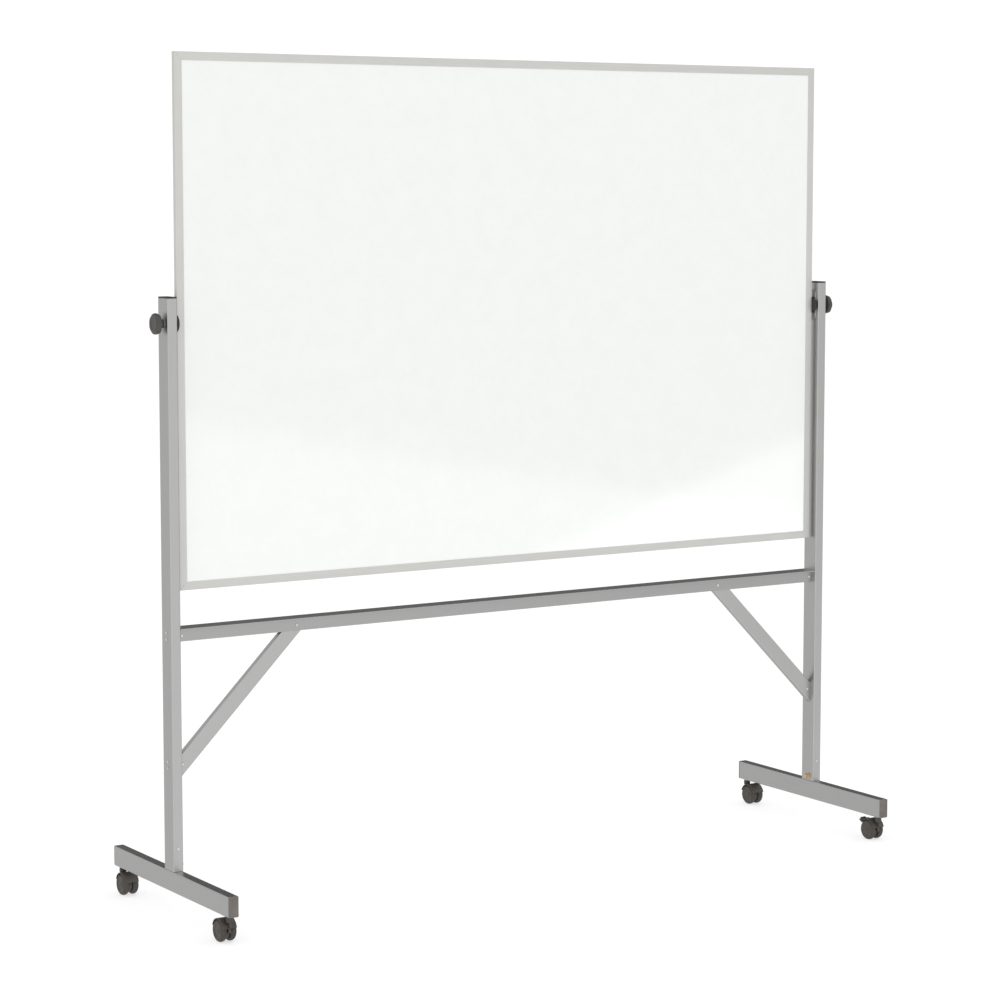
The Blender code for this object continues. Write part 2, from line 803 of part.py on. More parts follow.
def make_spacer(side, sign, pivot):
    """The friction disc on the stud between the board's edge and the post's pivot plate."""
    start = BOARD_WIDTH / 2 + GAP
    stop = POST_INNER - PIVOT_PLATE[2] - 2 * GAP
    thick = stop - start
    profile = [
        (STUD_HOLE, -thick / 2),
        (SPACER_RADIUS - 0.0008, -thick / 2),
        (SPACER_RADIUS, -thick / 2 + 0.0008),
        (SPACER_RADIUS, thick / 2 - 0.0008),
        (SPACER_RADIUS - 0.0008, thick / 2),
        (STUD_HOLE, thick / 2),
    ]
    centre = (sign * (start + stop) / 2, 0, PIVOT_Z)
    spacer = turned(f"{side}_spacer_disc", profile, "X", centre)
    finish(spacer, "black_plastic", pivot)


# ---------------------------------------------------------------- clamp knobs


def make_washer(side, sign, pivot):
    profile = [
        (STUD_HOLE, -WASHER_THICK / 2),
        (WASHER_RADIUS, -WASHER_THICK / 2),
        (WASHER_RADIUS, WASHER_THICK / 2),
        (STUD_HOLE, WASHER_THICK / 2),
    ]
    centre = (sign * (POST_OUTER + GAP + WASHER_THICK / 2), 0, PIVOT_Z)
    finish(turned(f"{side}_knob_washer", profile, "X", centre, 16), "zinc_steel", pivot)


def lobed_outline(radius, wave, lobes, steps):
    points = []
    for n in range(lobes * steps):
        angle = 2 * math.pi * n / (lobes * steps)
        bulge = 1 - 2 * abs(math.cos(lobes * angle / 2)) ** 3
        points.append(
            ((radius - wave * bulge) * math.cos(angle), (radius - wave * bulge) * math.sin(angle))
        )
    return points


def make_knob(side, sign, pivot):
    """A lobed hand knob on a narrower hub, with a blind bore for its stud."""
    hub_start = POST_OUTER + WASHER_THICK + 2 * GAP
    rim_start = KNOB_END - KNOB_RIM
    outline = lobed_outline(KNOB_RADIUS, KNOB_LOBE, KNOB_LOBES, 4)
    centre = (sign * (rim_start + KNOB_END) / 2, 0, PIVOT_Z)
    knob = extruded(f"{side}_clamp_knob", [outline], KNOB_RIM, "X", centre, True)
    round_edges(knob, 0.0022, 1, 60)
    hub_length = rim_start - hub_start + 0.002
    hub_x = sign * (hub_start + hub_length / 2)
    hub = rod(f"{side}_knob_hub", (hub_x, 0, PIVOT_Z), "X", KNOB_HUB, hub_length, 20)
    bore_end = KNOB_END - 0.006
    bore = rod(
        f"{side}_knob_bore",
        (sign * (hub_start - 0.002 + bore_end) / 2, 0, PIVOT_Z),
        "X",
        STUD_RADIUS + HOLE_GAP,
        bore_end - hub_start + 0.002,
        12,
    )
    dish = rod(f"{side}_knob_dish", (sign * KNOB_END, 0, PIVOT_Z), "X", 0.0125, 0.0016, 20)
    fuse(knob, hub)
    cut(knob, bore, dish)
    finish(knob, "knob_plastic", pivot)


def make_stud(side, sign, pivot):
    """The threaded stud: moulded into the knob and screwed into the board's pivot block."""
    outer_end = KNOB_END - 0.0065
    chamfer = 0.0008
    half = STUD_LENGTH / 2
    profile = [
        (0.0, -half),
        (STUD_RADIUS - chamfer, -half),
        (STUD_RADIUS, -half + chamfer),
        (STUD_RADIUS, half - chamfer),
        (STUD_RADIUS - chamfer, half),
        (0.0, half),
    ]
    centre = (sign * (outer_end - half), 0, PIVOT_Z)
    stud = turned(f"{side}_knob_stud", profile, "X", centre, 12, closed=False)
    finish(stud, "zinc_steel", pivot)


# ---------------------------------------------------------------- casters


def caster_outline(outer, inner, start, stop, steps, inward):
    """A band round the axle between two radii, from the neck's side over the top.

    Angles are measured from straight up, positive towards the side the wheels trail to.
    """
    up = math.pi / 2
    band = arc(outer, up + start, up - stop, steps) + arc(inner, up - stop, up + start, steps)
    return [(inward * u, v) for u, v in band]


def make_housing(name, x, y, inward, braked, swivel):
    """Hood, centre fin and neck of a twin-wheel caster. Inward is the side the wheels trail to."""
    axle = (x, y + inward * CASTER_TRAIL, WHEEL_RADIUS)
    hood_end = BRAKED_HOOD_END if braked else HOOD_END
    band = caster_outline(HOOD_OUTER, HOOD_INNER, HOOD_START, hood_end, 9, inward)
    hood = extruded(name, [band], 2 * HOOD_HALF_WIDTH, "X", axle, True)
    up = math.pi / 2
    fin_arc = arc(FIN_RADIUS, up + FIN_START, up - FIN_END, 7)
    low_arc = arc(BODY_RADIUS, up - FIN_END, up + FIN_START - 2 * math.pi, 8)
    fin_outline = [(inward * u, v) for u, v in fin_arc + low_arc]
    fin = extruded(name + "_fin", [fin_outline], 2 * BODY_HALF_WIDTH, "X", axle)
    neck = rod(
        name + "_neck",
        (x, y, (NECK_BOTTOM + NECK_TOP) / 2),
        "Z",
        NECK_RADIUS,
        NECK_TOP - NECK_BOTTOM,
    )
    fuse(hood, fin, neck)
    room_start, room_stop = BODY_HALF_WIDTH + GAP, 0.03
    room_x = (room_start + room_stop) / 2
    for label, way in (("outer", 1), ("inner", -1)):
        room = rod(
            f"{name}_{label}_room",
            (x + way * room_x, axle[1], axle[2]),
            "X",
            ROOM_RADIUS,
            room_stop - room_start,
            28,
        )
        cut(hood, room)
    bore_low, bore_high = CASTER_HEIGHT - STEM_DROP - 2 * GAP, CASTER_HEIGHT
    bore_place = (x, y, (bore_low + bore_high) / 2)
    bore_length = bore_high - bore_low
    stem_bore = rod(name + "_stem_bore", bore_place, "Z", STEM_RADIUS + HOLE_GAP, bore_length, 12)
    axle_bore = rod(name + "_axle_bore", axle, "X", AXLE_RADIUS + HOLE_GAP, 0.1, 10)
    if braked:
        ear_place = (x, *lever_pivot(y, inward))
        ear_length = 2 * (BODY_HALF_WIDTH - GAP)
        fuse(hood, rod(name + "_ear", ear_place, "X", EAR_RADIUS, ear_length, 12))
        cut(hood, rod(name + "_ear_hole", ear_place, "X", LEVER_PIN + HOLE_GAP, 0.1, 8))
    cut(hood, stem_bore, axle_bore)
    finish(hood, "hood_plastic", swivel)


def lever_pivot(y, inward):
    """Where a brake lever turns, beside the end of its hood."""
    reach = LEVER_PIVOT_RADIUS * math.sin(LEVER_PIVOT_ANGLE)
    rise = LEVER_PIVOT_RADIUS * math.cos(LEVER_PIVOT_ANGLE)
    return y + inward * (CASTER_TRAIL + reach), WHEEL_RADIUS + rise


def make_brake_lever(name, x, y, inward, swivel):
    """A pedal that turns two cams onto the treads: two cheeks joined by the pedal and a pin."""
    pivot_y, pivot_z = lever_pivot(y, inward)
    cam_angle = 1.5 * math.pi - LEVER_PIVOT_ANGLE
    cam_point = (LEVER_CAM * math.cos(cam_angle), LEVER_CAM * math.sin(cam_angle))
    side_view = (
        arc(LEVER_HUB, math.radians(100), cam_angle - 0.55, 5)
        + [cam_point]
        + arc(LEVER_HUB, cam_angle + 0.55, math.radians(335), 5)
        + [(0.0075, 0.0016), (0.0140, 0.0056), (0.0146, 0.0066), (0.0142, 0.0076), (0.0070, 0.0046)]
    )
    outline = [(inward * u, v) for u, v in side_view]
    lever = extruded(name, [outline], 2 * LEVER_HALF_WIDTH, "X", (x, pivot_y, pivot_z))
    slot_half = BODY_HALF_WIDTH + GAP
    room = EAR_RADIUS + 0.0015
    slot = block(
        name + "_slot",
        (x - slot_half, pivot_y - room, pivot_z - room),
        (x + slot_half, pivot_y + room, pivot_z + room),
    )
    pin = rod(name + "_pin", (x, pivot_y, pivot_z), "X", LEVER_PIN, LEVER_HALF_WIDTH, 8)
    cut(lever, slot)
    fuse(lever, pin)
    finish(lever, "hood_plastic", swivel)


def wheel_profile():
    """Half section of a wheel about its own middle: crowned tread, dished face and bore."""
    bore = AXLE_RADIUS + 0.0002
    half = (WHEEL_OUTER - WHEEL_INNER) / 2
    return [
        (WHEEL_RADIUS - 0.0016, half),
        (0.0190, half),
        (0.0085, half - 0.0020),
        (bore, half - 0.0020),
        (bore, -half),
        (WHEEL_RADIUS - 0.0016, -half),
        (WHEEL_RADIUS, 0.0030 - half),
        (WHEEL_RADIUS, half - 0.0030),
    ]


def make_caster(side, sign, end, direction):
    x, y = sign * POST_X, direction * CASTER_Y
    inward = -direction
    label = f"{side}_{end}"
    swivel = bpy.data.objects.new(label + "_caster", None)
    swivel.location = (x, y, 0)
    PARTS.objects.link(swivel)
    braked = (side, end) in BRAKED
    make_housing(label + "_caster_housing", x, y, inward, braked, swivel)
    axle_y = y + inward * CASTER_TRAIL
    axle = rod(
        label + "_caster_axle",
        (x, axle_y, WHEEL_RADIUS),
        "X",
        AXLE_RADIUS,
        2 * (WHEEL_OUTER - 0.0008),
        10,
    )
    finish(axle, "zinc_steel", swivel)
    middle = (WHEEL_INNER + WHEEL_OUTER) / 2
    for which, way in (("outer", sign), ("inner", -sign)):
        across = [(radius, along * way) for radius, along in wheel_profile()]
        if way < 0:
            across.reverse()
        centre = (x + way * middle, axle_y, WHEEL_RADIUS)
        wheel = turned(f"{label}_{which}_wheel", across, "X", centre, WHEEL_SIDES)
        finish(wheel, "wheel_plastic", swivel)
    if braked:
        make_brake_lever(label + "_brake_lever", x, y, inward, swivel)


clear_scene()
PARTS = collection("rolling_whiteboard")
TOOLS = collection("cutters")
MATERIALS = {name: make_material(name) for name in COLOURS}

make_stand()
board_pivot = bpy.data.objects.new("board_pivot", None)
board_pivot.location = (0, 0, PIVOT_Z)
PARTS.objects.link(board_pivot)
make_board(board_pivot)
for side_name, side_sign in SIDES.items():
    make_washer(side_name, side_sign, board_pivot)
    make_knob(side_name, side_sign, board_pivot)
    make_stud(side_name, side_sign, board_pivot)
    for end_name, end_sign in ENDS.items():
        make_caster(side_name, side_sign, end_name, end_sign)
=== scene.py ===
"""Looks of the rolling whiteboard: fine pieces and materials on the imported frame."""

import json
import math

import bmesh
import bpy
from mathutils import Matrix, Vector


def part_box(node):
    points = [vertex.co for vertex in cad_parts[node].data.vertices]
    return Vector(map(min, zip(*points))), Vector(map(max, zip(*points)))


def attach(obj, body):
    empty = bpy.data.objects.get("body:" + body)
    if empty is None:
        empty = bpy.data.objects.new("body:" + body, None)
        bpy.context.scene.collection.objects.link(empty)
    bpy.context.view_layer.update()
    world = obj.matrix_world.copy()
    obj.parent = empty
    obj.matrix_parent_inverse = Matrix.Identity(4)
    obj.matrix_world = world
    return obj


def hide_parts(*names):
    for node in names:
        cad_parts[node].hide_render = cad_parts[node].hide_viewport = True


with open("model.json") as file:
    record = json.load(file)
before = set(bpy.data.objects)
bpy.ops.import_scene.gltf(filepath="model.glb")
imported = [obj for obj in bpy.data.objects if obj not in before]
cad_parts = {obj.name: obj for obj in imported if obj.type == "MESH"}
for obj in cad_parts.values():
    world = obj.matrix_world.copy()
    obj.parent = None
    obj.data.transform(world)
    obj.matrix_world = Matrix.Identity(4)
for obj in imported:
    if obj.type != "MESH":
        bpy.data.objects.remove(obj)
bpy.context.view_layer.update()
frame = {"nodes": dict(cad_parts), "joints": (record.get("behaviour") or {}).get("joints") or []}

SIDES = {"left": -1, "right": 1}
ENDS = {"front": -1, "back": 1}
BRAKED = (("right", "front"),)

# Pieces that meet stop this far short of each other
GAP = 0.0003
MITRE_GAP = 0.00021

# Posts, feet, cross bar and braces
WALL = 0.0016
TUBE_CORNER = 0.0022
TUBE_EDGE = 0.0004
SPIGOT = (0.0206, 0.0438)
SPIGOT_RIVET_Z = 0.165
CAP_PLUG_INSET = 0.0022
PLUG_FLANGE = 0.0027
PLUG_PANEL_INSET = 0.0028
BAR_FLANGE = 0.0035
BAR_WEB = 0.0100
BAR_RIVET_Z = 0.6595
BRACE_HALF = 0.008
BRACE_WIDE = 0.037
BRACE_LINE = 1.278

# Fasteners
RIVET_RADIUS = 0.0036
RIVET_HIGH = 0.0016
RIVET_PITCH = 0.0156
CLEAT_RIVET_X = 0.919
CLEAT_PLATE = 0.0025
# Each cleat: how far its tabs reach, half its width, and how far out its tabs' rivet heads are
CLEATS = {"bar": (0.018, 0.0081, 0.0103), "brace": (0.016, 0.0061, 0.0083)}
HEX_RADIUS = 0.0066
BOLT_SHANK = (0.0038, 0.008)

# Board and clamps
RAIL_LIP = 0.0010
RAIL_WEB = 0.0020
PLATE_EDGE = 0.0005
STUD_HOLE = 0.0036
THREAD_PITCH = 0.0015
THREAD_DEPTH = 0.0009
KNOB_LOBES = 7
KNOB_VALLEY = 0.0008
KNOB_RIM = 0.0140
KNOB_HUB = 0.0105

# Casters; angles are in degrees from level, on the side away from the foot's end
STEM_RADIUS = 0.0045
COLLAR_RADIUS = 0.0080
NECK_LOW = 0.0478
NECK_RADIUS = 0.0085
WEB_LOW = 0.0364
WEB_LONG = 0.0166
FIN_HALF = 0.0034
FIN_RADII = (0.0275, 0.0188)
HOOD_RADII = (0.0290, 0.0273, 0.0266)
HOOD_START = 162
HOOD_STOP = 18
BRAKED_HOOD_STOP = 54
EAR_RADII = (0.0020, 0.0042)
EAR_HALF = 0.0032
LEVER_HUB = 0.0028
LEVER_CAM = 0.0037
LEVER_PIN = 0.0016
TREAD_HALF = 0.0085

# Colours
STAND_COLOUR = (0.540, 0.537, 0.533)
FRAME_COLOUR = (0.627, 0.621, 0.600)
FRAME_METALLIC = 0.45
WHITE_LOW = (0.835, 0.856, 0.835)
WHITE_HIGH = (0.868, 0.888, 0.868)
FIBRE_DARK = (0.36, 0.27, 0.18)
FIBRE_LIGHT = (0.55, 0.45, 0.32)
# Object space is stretched this much for die lines along each axis
DIE_LINES = {"x": (1.2, 260, 260), "y": (260, 1.2, 260), "z": (260, 260, 1.2)}

# Camera and floor
CAMERA_PLACE = (-3.82925, -5.9015, 1.69864)
CAMERA_YAW = 0.56792
CAMERA_PITCH = 0.1036
CAMERA_LENS = 103.45
CAMERA_SHIFT = (0.00676, -0.02029)
FLOOR_SIZE = 600.0
FLOOR_DARK = (0.38, 0.38, 0.38)
FLOOR_LIGHT = (0.40, 0.40, 0.40)
FLOOR_GLOW = 0.64

# The room's light: what the eye sees, what falls evenly, and what shiny pieces mirror
EYE_LIGHT = 1.05
SOFT_LIGHT = 1.0
ROOM_FRONT = 0.92
ROOM_BACK = 0.65
ROOM_RIGHT = 0.70
ROOM_DARK = 0.03
ROOM_FLOOR = 1.1
# Behind and to the right, 40 degrees up, and the cosines where it fades in
DARK_CORNER = (0.406, 0.650, 0.643)
CORNER_EDGE = (0.83, 0.885)

# Lamps
OVERHEAD_PLACE = (0.0, -0.6, 6.0)
OVERHEAD_SIZE = (6.0, 6.0)
OVERHEAD_GLOW = 0.5
LEFT_CARD_PLACE = (0.55, -10.25, 0.03)
LEFT_CARD_SIZE = (9.1, 11.5)
LEFT_CARD_GLOW = 1.25
CARD_CORNERS = (Vector((3.73, -5.15, 0.04)), Vector((7.89, -8.76, 0.04)))
RIGHT_CARD_LONGER = 2.2
RIGHT_CARD_WIDE = 3.0
RIGHT_CARD_GLOW = 2.1

# -------------------- places, from the frame


def middle(node):
    low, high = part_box(node)
    return (low + high) / 2


def half_and_radius(node):
    """Half the length along X, and the radius, of a round node on an X axis."""
    low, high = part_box(node)
    return (high.x - low.x) / 2, (high.z - low.z) / 2


PIVOT_Z = middle("left_spacer_disc").z

# -------------------- mesh tools


def polar(radius, degrees, centre=(0.0, 0.0)):
    angle = math.radians(degrees)
    return (centre[0] + radius * math.cos(angle), centre[1] + radius * math.sin(angle))


def spaced(start, stop, steps):
    return [start + (stop - start) * n / steps for n in range(steps + 1)]


def arc(radius, start, stop, steps, centre=(0.0, 0.0)):
    """Points on an arc, by angles in degrees."""
    return [polar(radius, degrees, centre) for degrees in spaced(start, stop, steps)]


def tapered_arc(top, tip, start, stop, steps):
    """An arc whose radius is greatest straight up and draws in to the tip at its start."""
    points = []
    for degrees in spaced(start, stop, steps):
        fall = (degrees - 90) / (start - 90)
        points.append(polar(top + (tip - top) * fall * fall, degrees))
    return points


def filleted(corners, steps=4):
    """A closed outline whose corners (u, v, radius) are rounded."""
    outline = []
    count = len(corners)
    for n, (u, v, radius) in enumerate(corners):
        here = Vector((u, v))
        before = Vector(corners[n - 1][:2])
        after = Vector(corners[(n + 1) % count][:2])
        if radius <= 0:
            outline.append((u, v))
            continue
        to_before = (before - here).normalized()
        to_after = (after - here).normalized()
        half = to_before.angle(to_after) / 2
        reach = radius / math.tan(half)
        centre = here + (to_before + to_after).normalized() * radius / math.sin(half)
        first = here + to_before * reach - centre
        last = here + to_after * reach - centre
        turn = first.angle_signed(last)
        for step in range(steps + 1):
            spoke = first.copy()
            spoke.rotate(Matrix.Rotation(-turn * step / steps, 2))
            outline.append(tuple(centre + spoke))
    return outline


def rectangle(wide, high, radius, steps=4):
    u, v = wide / 2, high / 2
    corners = [(u, v, radius), (-u, v, radius), (-u, -v, radius), (u, -v, radius)]
    return filleted(corners, steps)


def ring(outline, height):
    """An outline laid flat at a height on the local Z axis."""
    return [Vector((u, v, height)) for u, v in outline]


def scaled(outline, inset, wide, high):
    """A rectangle-like outline pulled in by an inset on each side."""
    return [(u * (1 - 2 * inset / wide), v * (1 - 2 * inset / high)) for u, v in outline]


def loft(name, rings, closed=False, capped=True, angle=40):
    """Joins rings of equal length with quads. Closed joins the last ring to the first."""
    bm = bmesh.new()
    loops = [[bm.verts.new(point) for point in points] for points in rings]
    pairs = list(zip(loops, loops[1:]))
    if closed:
        pairs.append((loops[-1], loops[0]))
    for below, above in pairs:
        count = len(below)
        for n in range(count):
            after = (n + 1) % count
            bm.faces.new((below[n], below[after], above[after], above[n]))
    if capped and not closed:
        bm.faces.new(list(reversed(loops[0])))
        bm.faces.new(loops[-1])
    return mesh_object(name, bm, angle)


def mesh_object(name, bm, angle=40):
    bmesh.ops.recalc_face_normals(bm, faces=bm.faces)
    mesh = bpy.data.meshes.new(name)
    bm.to_mesh(mesh)
    bm.free()
    mesh.shade_smooth()
    mesh.set_sharp_from_angle(angle=math.radians(angle))
    piece = bpy.data.objects.new(name, mesh)
    bpy.context.scene.collection.objects.link(piece)
    return piece


def circle(radius, sides):
    return arc(radius, 0, 360, sides)[:-1]


def lathe(name, profile, sides=48, closed=True, angle=40):
    """Turns (radius, height) points about local Z; closed joins the profile's ends."""
    rings = [ring(circle(radius, sides), height) for radius, height in profile]
    return loft(name, rings, closed=closed, capped=not closed, angle=angle)


def prism(name, outline, low, high, angle=40):
    """An outline pulled along local Z from low to high."""
    return loft(name, [ring(outline, low), ring(outline, high)], angle=angle)


def bevel(piece, width, segments=3, angle=35):
    """Softens a piece's sharp edges, applied to its mesh."""
    modifier = piece.modifiers.new("Soft edges", "BEVEL")
    modifier.width = width
    modifier.segments = segments
    modifier.limit_method = "ANGLE"
    modifier.angle_limit = math.radians(angle)
    return apply_modifiers(piece)


def apply_modifiers(piece):
    bpy.context.view_layer.update()
    evaluated = piece.evaluated_get(bpy.context.evaluated_depsgraph_get())
    mesh = bpy.data.meshes.new_from_object(evaluated)
    piece.modifiers.clear()
    piece.data = mesh
    return piece


def moved(piece, matrix):
    """Moves a piece's mesh, so that its object can stay at the origin."""
    piece.data.transform(matrix)
    if matrix.to_3x3().determinant() < 0:
        piece.data.flip_normals()
    return piece


def joined(name, pieces):
    """Several pieces as one object, keeping each one's materials and smoothing."""
    with bpy.context.temp_override(
        active_object=pieces[0], selected_editable_objects=pieces, object=pieces[0]
    ):
        bpy.ops.object.join()
    pieces[0].name = name
    pieces[0].data.name = name
    return pieces[0]


def at(x, y, z):
    return Matrix.Translation((x, y, z))


# Turns that lay local Z along a world axis, and local X and Y as named
ALONG_X = Matrix(((0, 0, 1, 0), (1, 0, 0, 0), (0, 1, 0, 0), (0, 0, 0, 1)))
ALONG_Y = Matrix(((1, 0, 0, 0), (0, 0, 1, 0), (0, 1, 0, 0), (0, 0, 0, 1)))


def outward(sign):
    """Local Z along +X or -X, for pieces that face outward on either side."""
    return Matrix.Diagonal((sign, 1, 1, 1)) @ ALONG_X


def facing_y(sign):
    """Local Z along +Y or -Y."""
    return Matrix.Diagonal((1, sign, 1, 1)) @ ALONG_Y


def side_profile(place, inward):
    """Local X and Y along the world's Y and Z, with X towards the middle of the foot."""
    return at(*place) @ Matrix.Diagonal((1, inward, 1, 1)) @ ALONG_X


# -------------------- materials


class Nodes:
    """A short way to write a material's nodes."""

    def __init__(self, name):
        self.material = bpy.data.materials.new(name)
        self.material.use_nodes = True
        self.tree = self.material.node_tree
        self.shader = self.tree.nodes["Principled BSDF"]

    def add(self, kind):
        return self.tree.nodes.new(kind)

    def link(self, source, target):
        self.tree.links.new(source, target)

    def noise(self, scale, detail=4.0, rough=0.55, stretch=(1, 1, 1)):
        """Noise in object coordinates, stretched by a scale on each axis."""
        coordinates = self.add("ShaderNodeTexCoord")
        mapping = self.add("ShaderNodeMapping")
        mapping.inputs["Scale"].default_value = stretch
        self.link(coordinates.outputs["Object"], mapping.inputs["Vector"])
        node = self.add("ShaderNodeTexNoise")
        node.inputs["Scale"].default_value = scale
        node.inputs["Detail"].default_value = detail
        node.inputs["Roughness"].default_value = rough
        self.link(mapping.outputs["Vector"], node.inputs["Vector"])
        return node.outputs["Fac"]

    def spread(self, factor, low, high, start=0.3, stop=0.7):
        """A factor carried to the range low..high."""
        node = self.add("ShaderNodeMapRange")
        node.inputs["From Min"].default_value = start
        node.inputs["From Max"].default_value = stop
        node.inputs["To Min"].default_value = low
        node.inputs["To Max"].default_value = high
        self.link(factor, node.inputs["Value"])
        return node.outputs["Result"]

    def sum(self, first, second, operation="ADD"):
        node = self.add("ShaderNodeMath")
        node.operation = operation
        self.link(first, node.inputs[0])
        if isinstance(second, float):
            node.inputs[1].default_value = second
        else:
            self.link(second, node.inputs[1])
        return node.outputs[0]

    def blended(self, factor, first, second):
        """Two colours mixed by a factor; the first may be a socket."""
        node = self.add("ShaderNodeMix")
        node.data_type = "RGBA"
        self.link(factor, node.inputs["Factor"])
        low, high = (socket for socket in node.inputs if socket.type == "RGBA")
        if isinstance(first, tuple):
            low.default_value = (*first, 1)
        else:
            self.link(first, low)
        high.default_value = (*second, 1)
        return next(socket for socket in node.outputs if socket.type == "RGBA")

    def worn_edges(self, radius, patches):
        """0 on flat faces and up to 1 on the rounded edges, broken up by patches."""
        bevelled = self.add("ShaderNodeBevel")
        bevelled.samples = 4
        bevelled.inputs["Radius"].default_value = radius
        surface = self.add("ShaderNodeNewGeometry")
        likeness = self.add("ShaderNodeVectorMath")
        likeness.operation = "DOT_PRODUCT"
        self.link(bevelled.outputs["Normal"], likeness.inputs[0])
        self.link(surface.outputs["Normal"], likeness.inputs[1])
        edge = self.spread(likeness.outputs["Value"], 1.0, 0.0, 0.90, 0.995)
        return self.sum(edge, self.spread(patches, 0.25, 1.0), "MULTIPLY")

    def paint(self, colour, roughness):
        self.link(colour, self.shader.inputs["Base Color"])
        self.link(roughness, self.shader.inputs["Roughness"])

    def bump(self, height, strength, distance):
        node = self.add("ShaderNodeBump")
        node.inputs["Strength"].default_value = strength
        node.inputs["Distance"].default_value = distance
        self.link(height, node.inputs["Height"])
        self.link(node.outputs["Normal"], self.shader.inputs["Normal"])

    def set(self, **values):
        for key, value in values.items():
            self.shader.inputs[key.replace("_", " ")].default_value = value


def shade(colour, factor):
    return tuple(min(1.0, channel * factor) for channel in colour)


def drawn_alloy(name, colour, rough, along="z", metallic=1.0):
    """Clear-anodised aluminium: fine die lines along the length, soft blotches and worn edges."""
    nodes = Nodes(name)
    lines = nodes.noise(scale=4.0, detail=3.0, rough=0.7, stretch=DIE_LINES[along])
    blotches = nodes.noise(scale=9.0, detail=5.0)
    grain = nodes.noise(scale=900.0, detail=2.0)
    mixed = nodes.sum(nodes.spread(lines, 0.0, 0.7), nodes.spread(blotches, 0.0, 0.3))
    anodised = nodes.blended(mixed, shade(colour, 0.93), shade(colour, 1.07))
    rubbed = nodes.worn_edges(0.0015, nodes.noise(scale=45.0))
    faint = nodes.sum(rubbed, 0.35, "MULTIPLY")
    rough_lines = nodes.spread(lines, rough - 0.05, rough + 0.05)
    rough_spots = nodes.sum(nodes.spread(blotches, -0.03, 0.04), nodes.sum(rubbed, -0.08, "MULTIPLY"))
    nodes.paint(
        nodes.blended(faint, anodised, shade(colour, 1.22)), nodes.sum(rough_lines, rough_spots)
    )
    height = nodes.sum(lines, nodes.spread(grain, 0.0, 0.25))
    nodes.bump(height, strength=0.22, distance=0.00012)
    nodes.set(Metallic=metallic, IOR=1.5)
    return nodes.material


def moulded_plastic(name, colour, rough, grain_size=1100.0):
    """Moulded plastic: a spark-eroded grain, faint flow marks and a slightly uneven shine."""
    nodes = Nodes(name)
    grain = nodes.noise(scale=grain_size, detail=3.0, rough=0.6)
    flow = nodes.noise(scale=28.0, detail=5.0)
    moulded = nodes.blended(nodes.spread(flow, 0.0, 1.0), shade(colour, 0.82), shade(colour, 1.2))
    rubbed = nodes.worn_edges(0.0008, nodes.noise(scale=160.0))
    faint = nodes.sum(rubbed, 0.5, "MULTIPLY")
    shine = nodes.sum(
        nodes.spread(grain, rough - 0.06, rough + 0.06), nodes.spread(flow, -0.05, 0.05)
    )
    polished = nodes.sum(rubbed, -0.10, "MULTIPLY")
    nodes.paint(nodes.blended(faint, moulded, shade(colour, 1.8)), nodes.sum(shine, polished))
    nodes.bump(grain, strength=0.35, distance=0.00006)
    nodes.set(IOR=1.49)
    return nodes.material


def writing_laminate(name):
    """Dry-erase gloss laminate: near white, faintly mottled, with a wiped-over shine."""
    nodes = Nodes(name)
    cloud = nodes.noise(scale=16.0, detail=6.0, rough=0.65)
    fleck = nodes.noise(scale=120.0, detail=3.0)
    wipes = nodes.noise(scale=2.2, detail=5.0, rough=0.6, stretch=(2.0, 1.0, 14.0))
    tone = nodes.sum(nodes.spread(cloud, 0.0, 0.65), nodes.spread(fleck, 0.0, 0.35))
    nodes.paint(nodes.blended(tone, WHITE_LOW, WHITE_HIGH), nodes.spread(wipes, 0.045, 0.085))
    nodes.bump(nodes.noise(scale=1.4, detail=2.0), strength=0.06, distance=0.004)
    nodes.set(IOR=1.5)
    return nodes.material


def bright_metal(name, colour, rough):
    """Plated metal: brushed-looking fine noise and small dull spots."""
    nodes = Nodes(name)
    fine = nodes.noise(scale=720.0, detail=3.0)
    spots = nodes.noise(scale=60.0)
    plated = nodes.blended(nodes.spread(spots, 0.0, 1.0), shade(colour, 0.85), shade(colour, 1.08))
    shine = nodes.sum(
        nodes.spread(fine, rough - 0.05, rough + 0.05), nodes.spread(spots, -0.04, 0.06)
    )
    nodes.paint(plated, shine)
    nodes.bump(fine, strength=0.2, distance=0.00004)
    nodes.set(Metallic=1.0)
    return nodes.material


def pressed_fibre(name):
    """Raw fibreboard, for the hidden core."""
    nodes = Nodes(name)
    fibres = nodes.noise(scale=6.0, detail=6.0, rough=0.7, stretch=(40, 400, 40))
    nodes.paint(nodes.blended(fibres, FIBRE_DARK, FIBRE_LIGHT), nodes.spread(fibres, 0.8, 0.95))
    nodes.bump(fibres, strength=0.4, distance=0.0003)
    return nodes.material


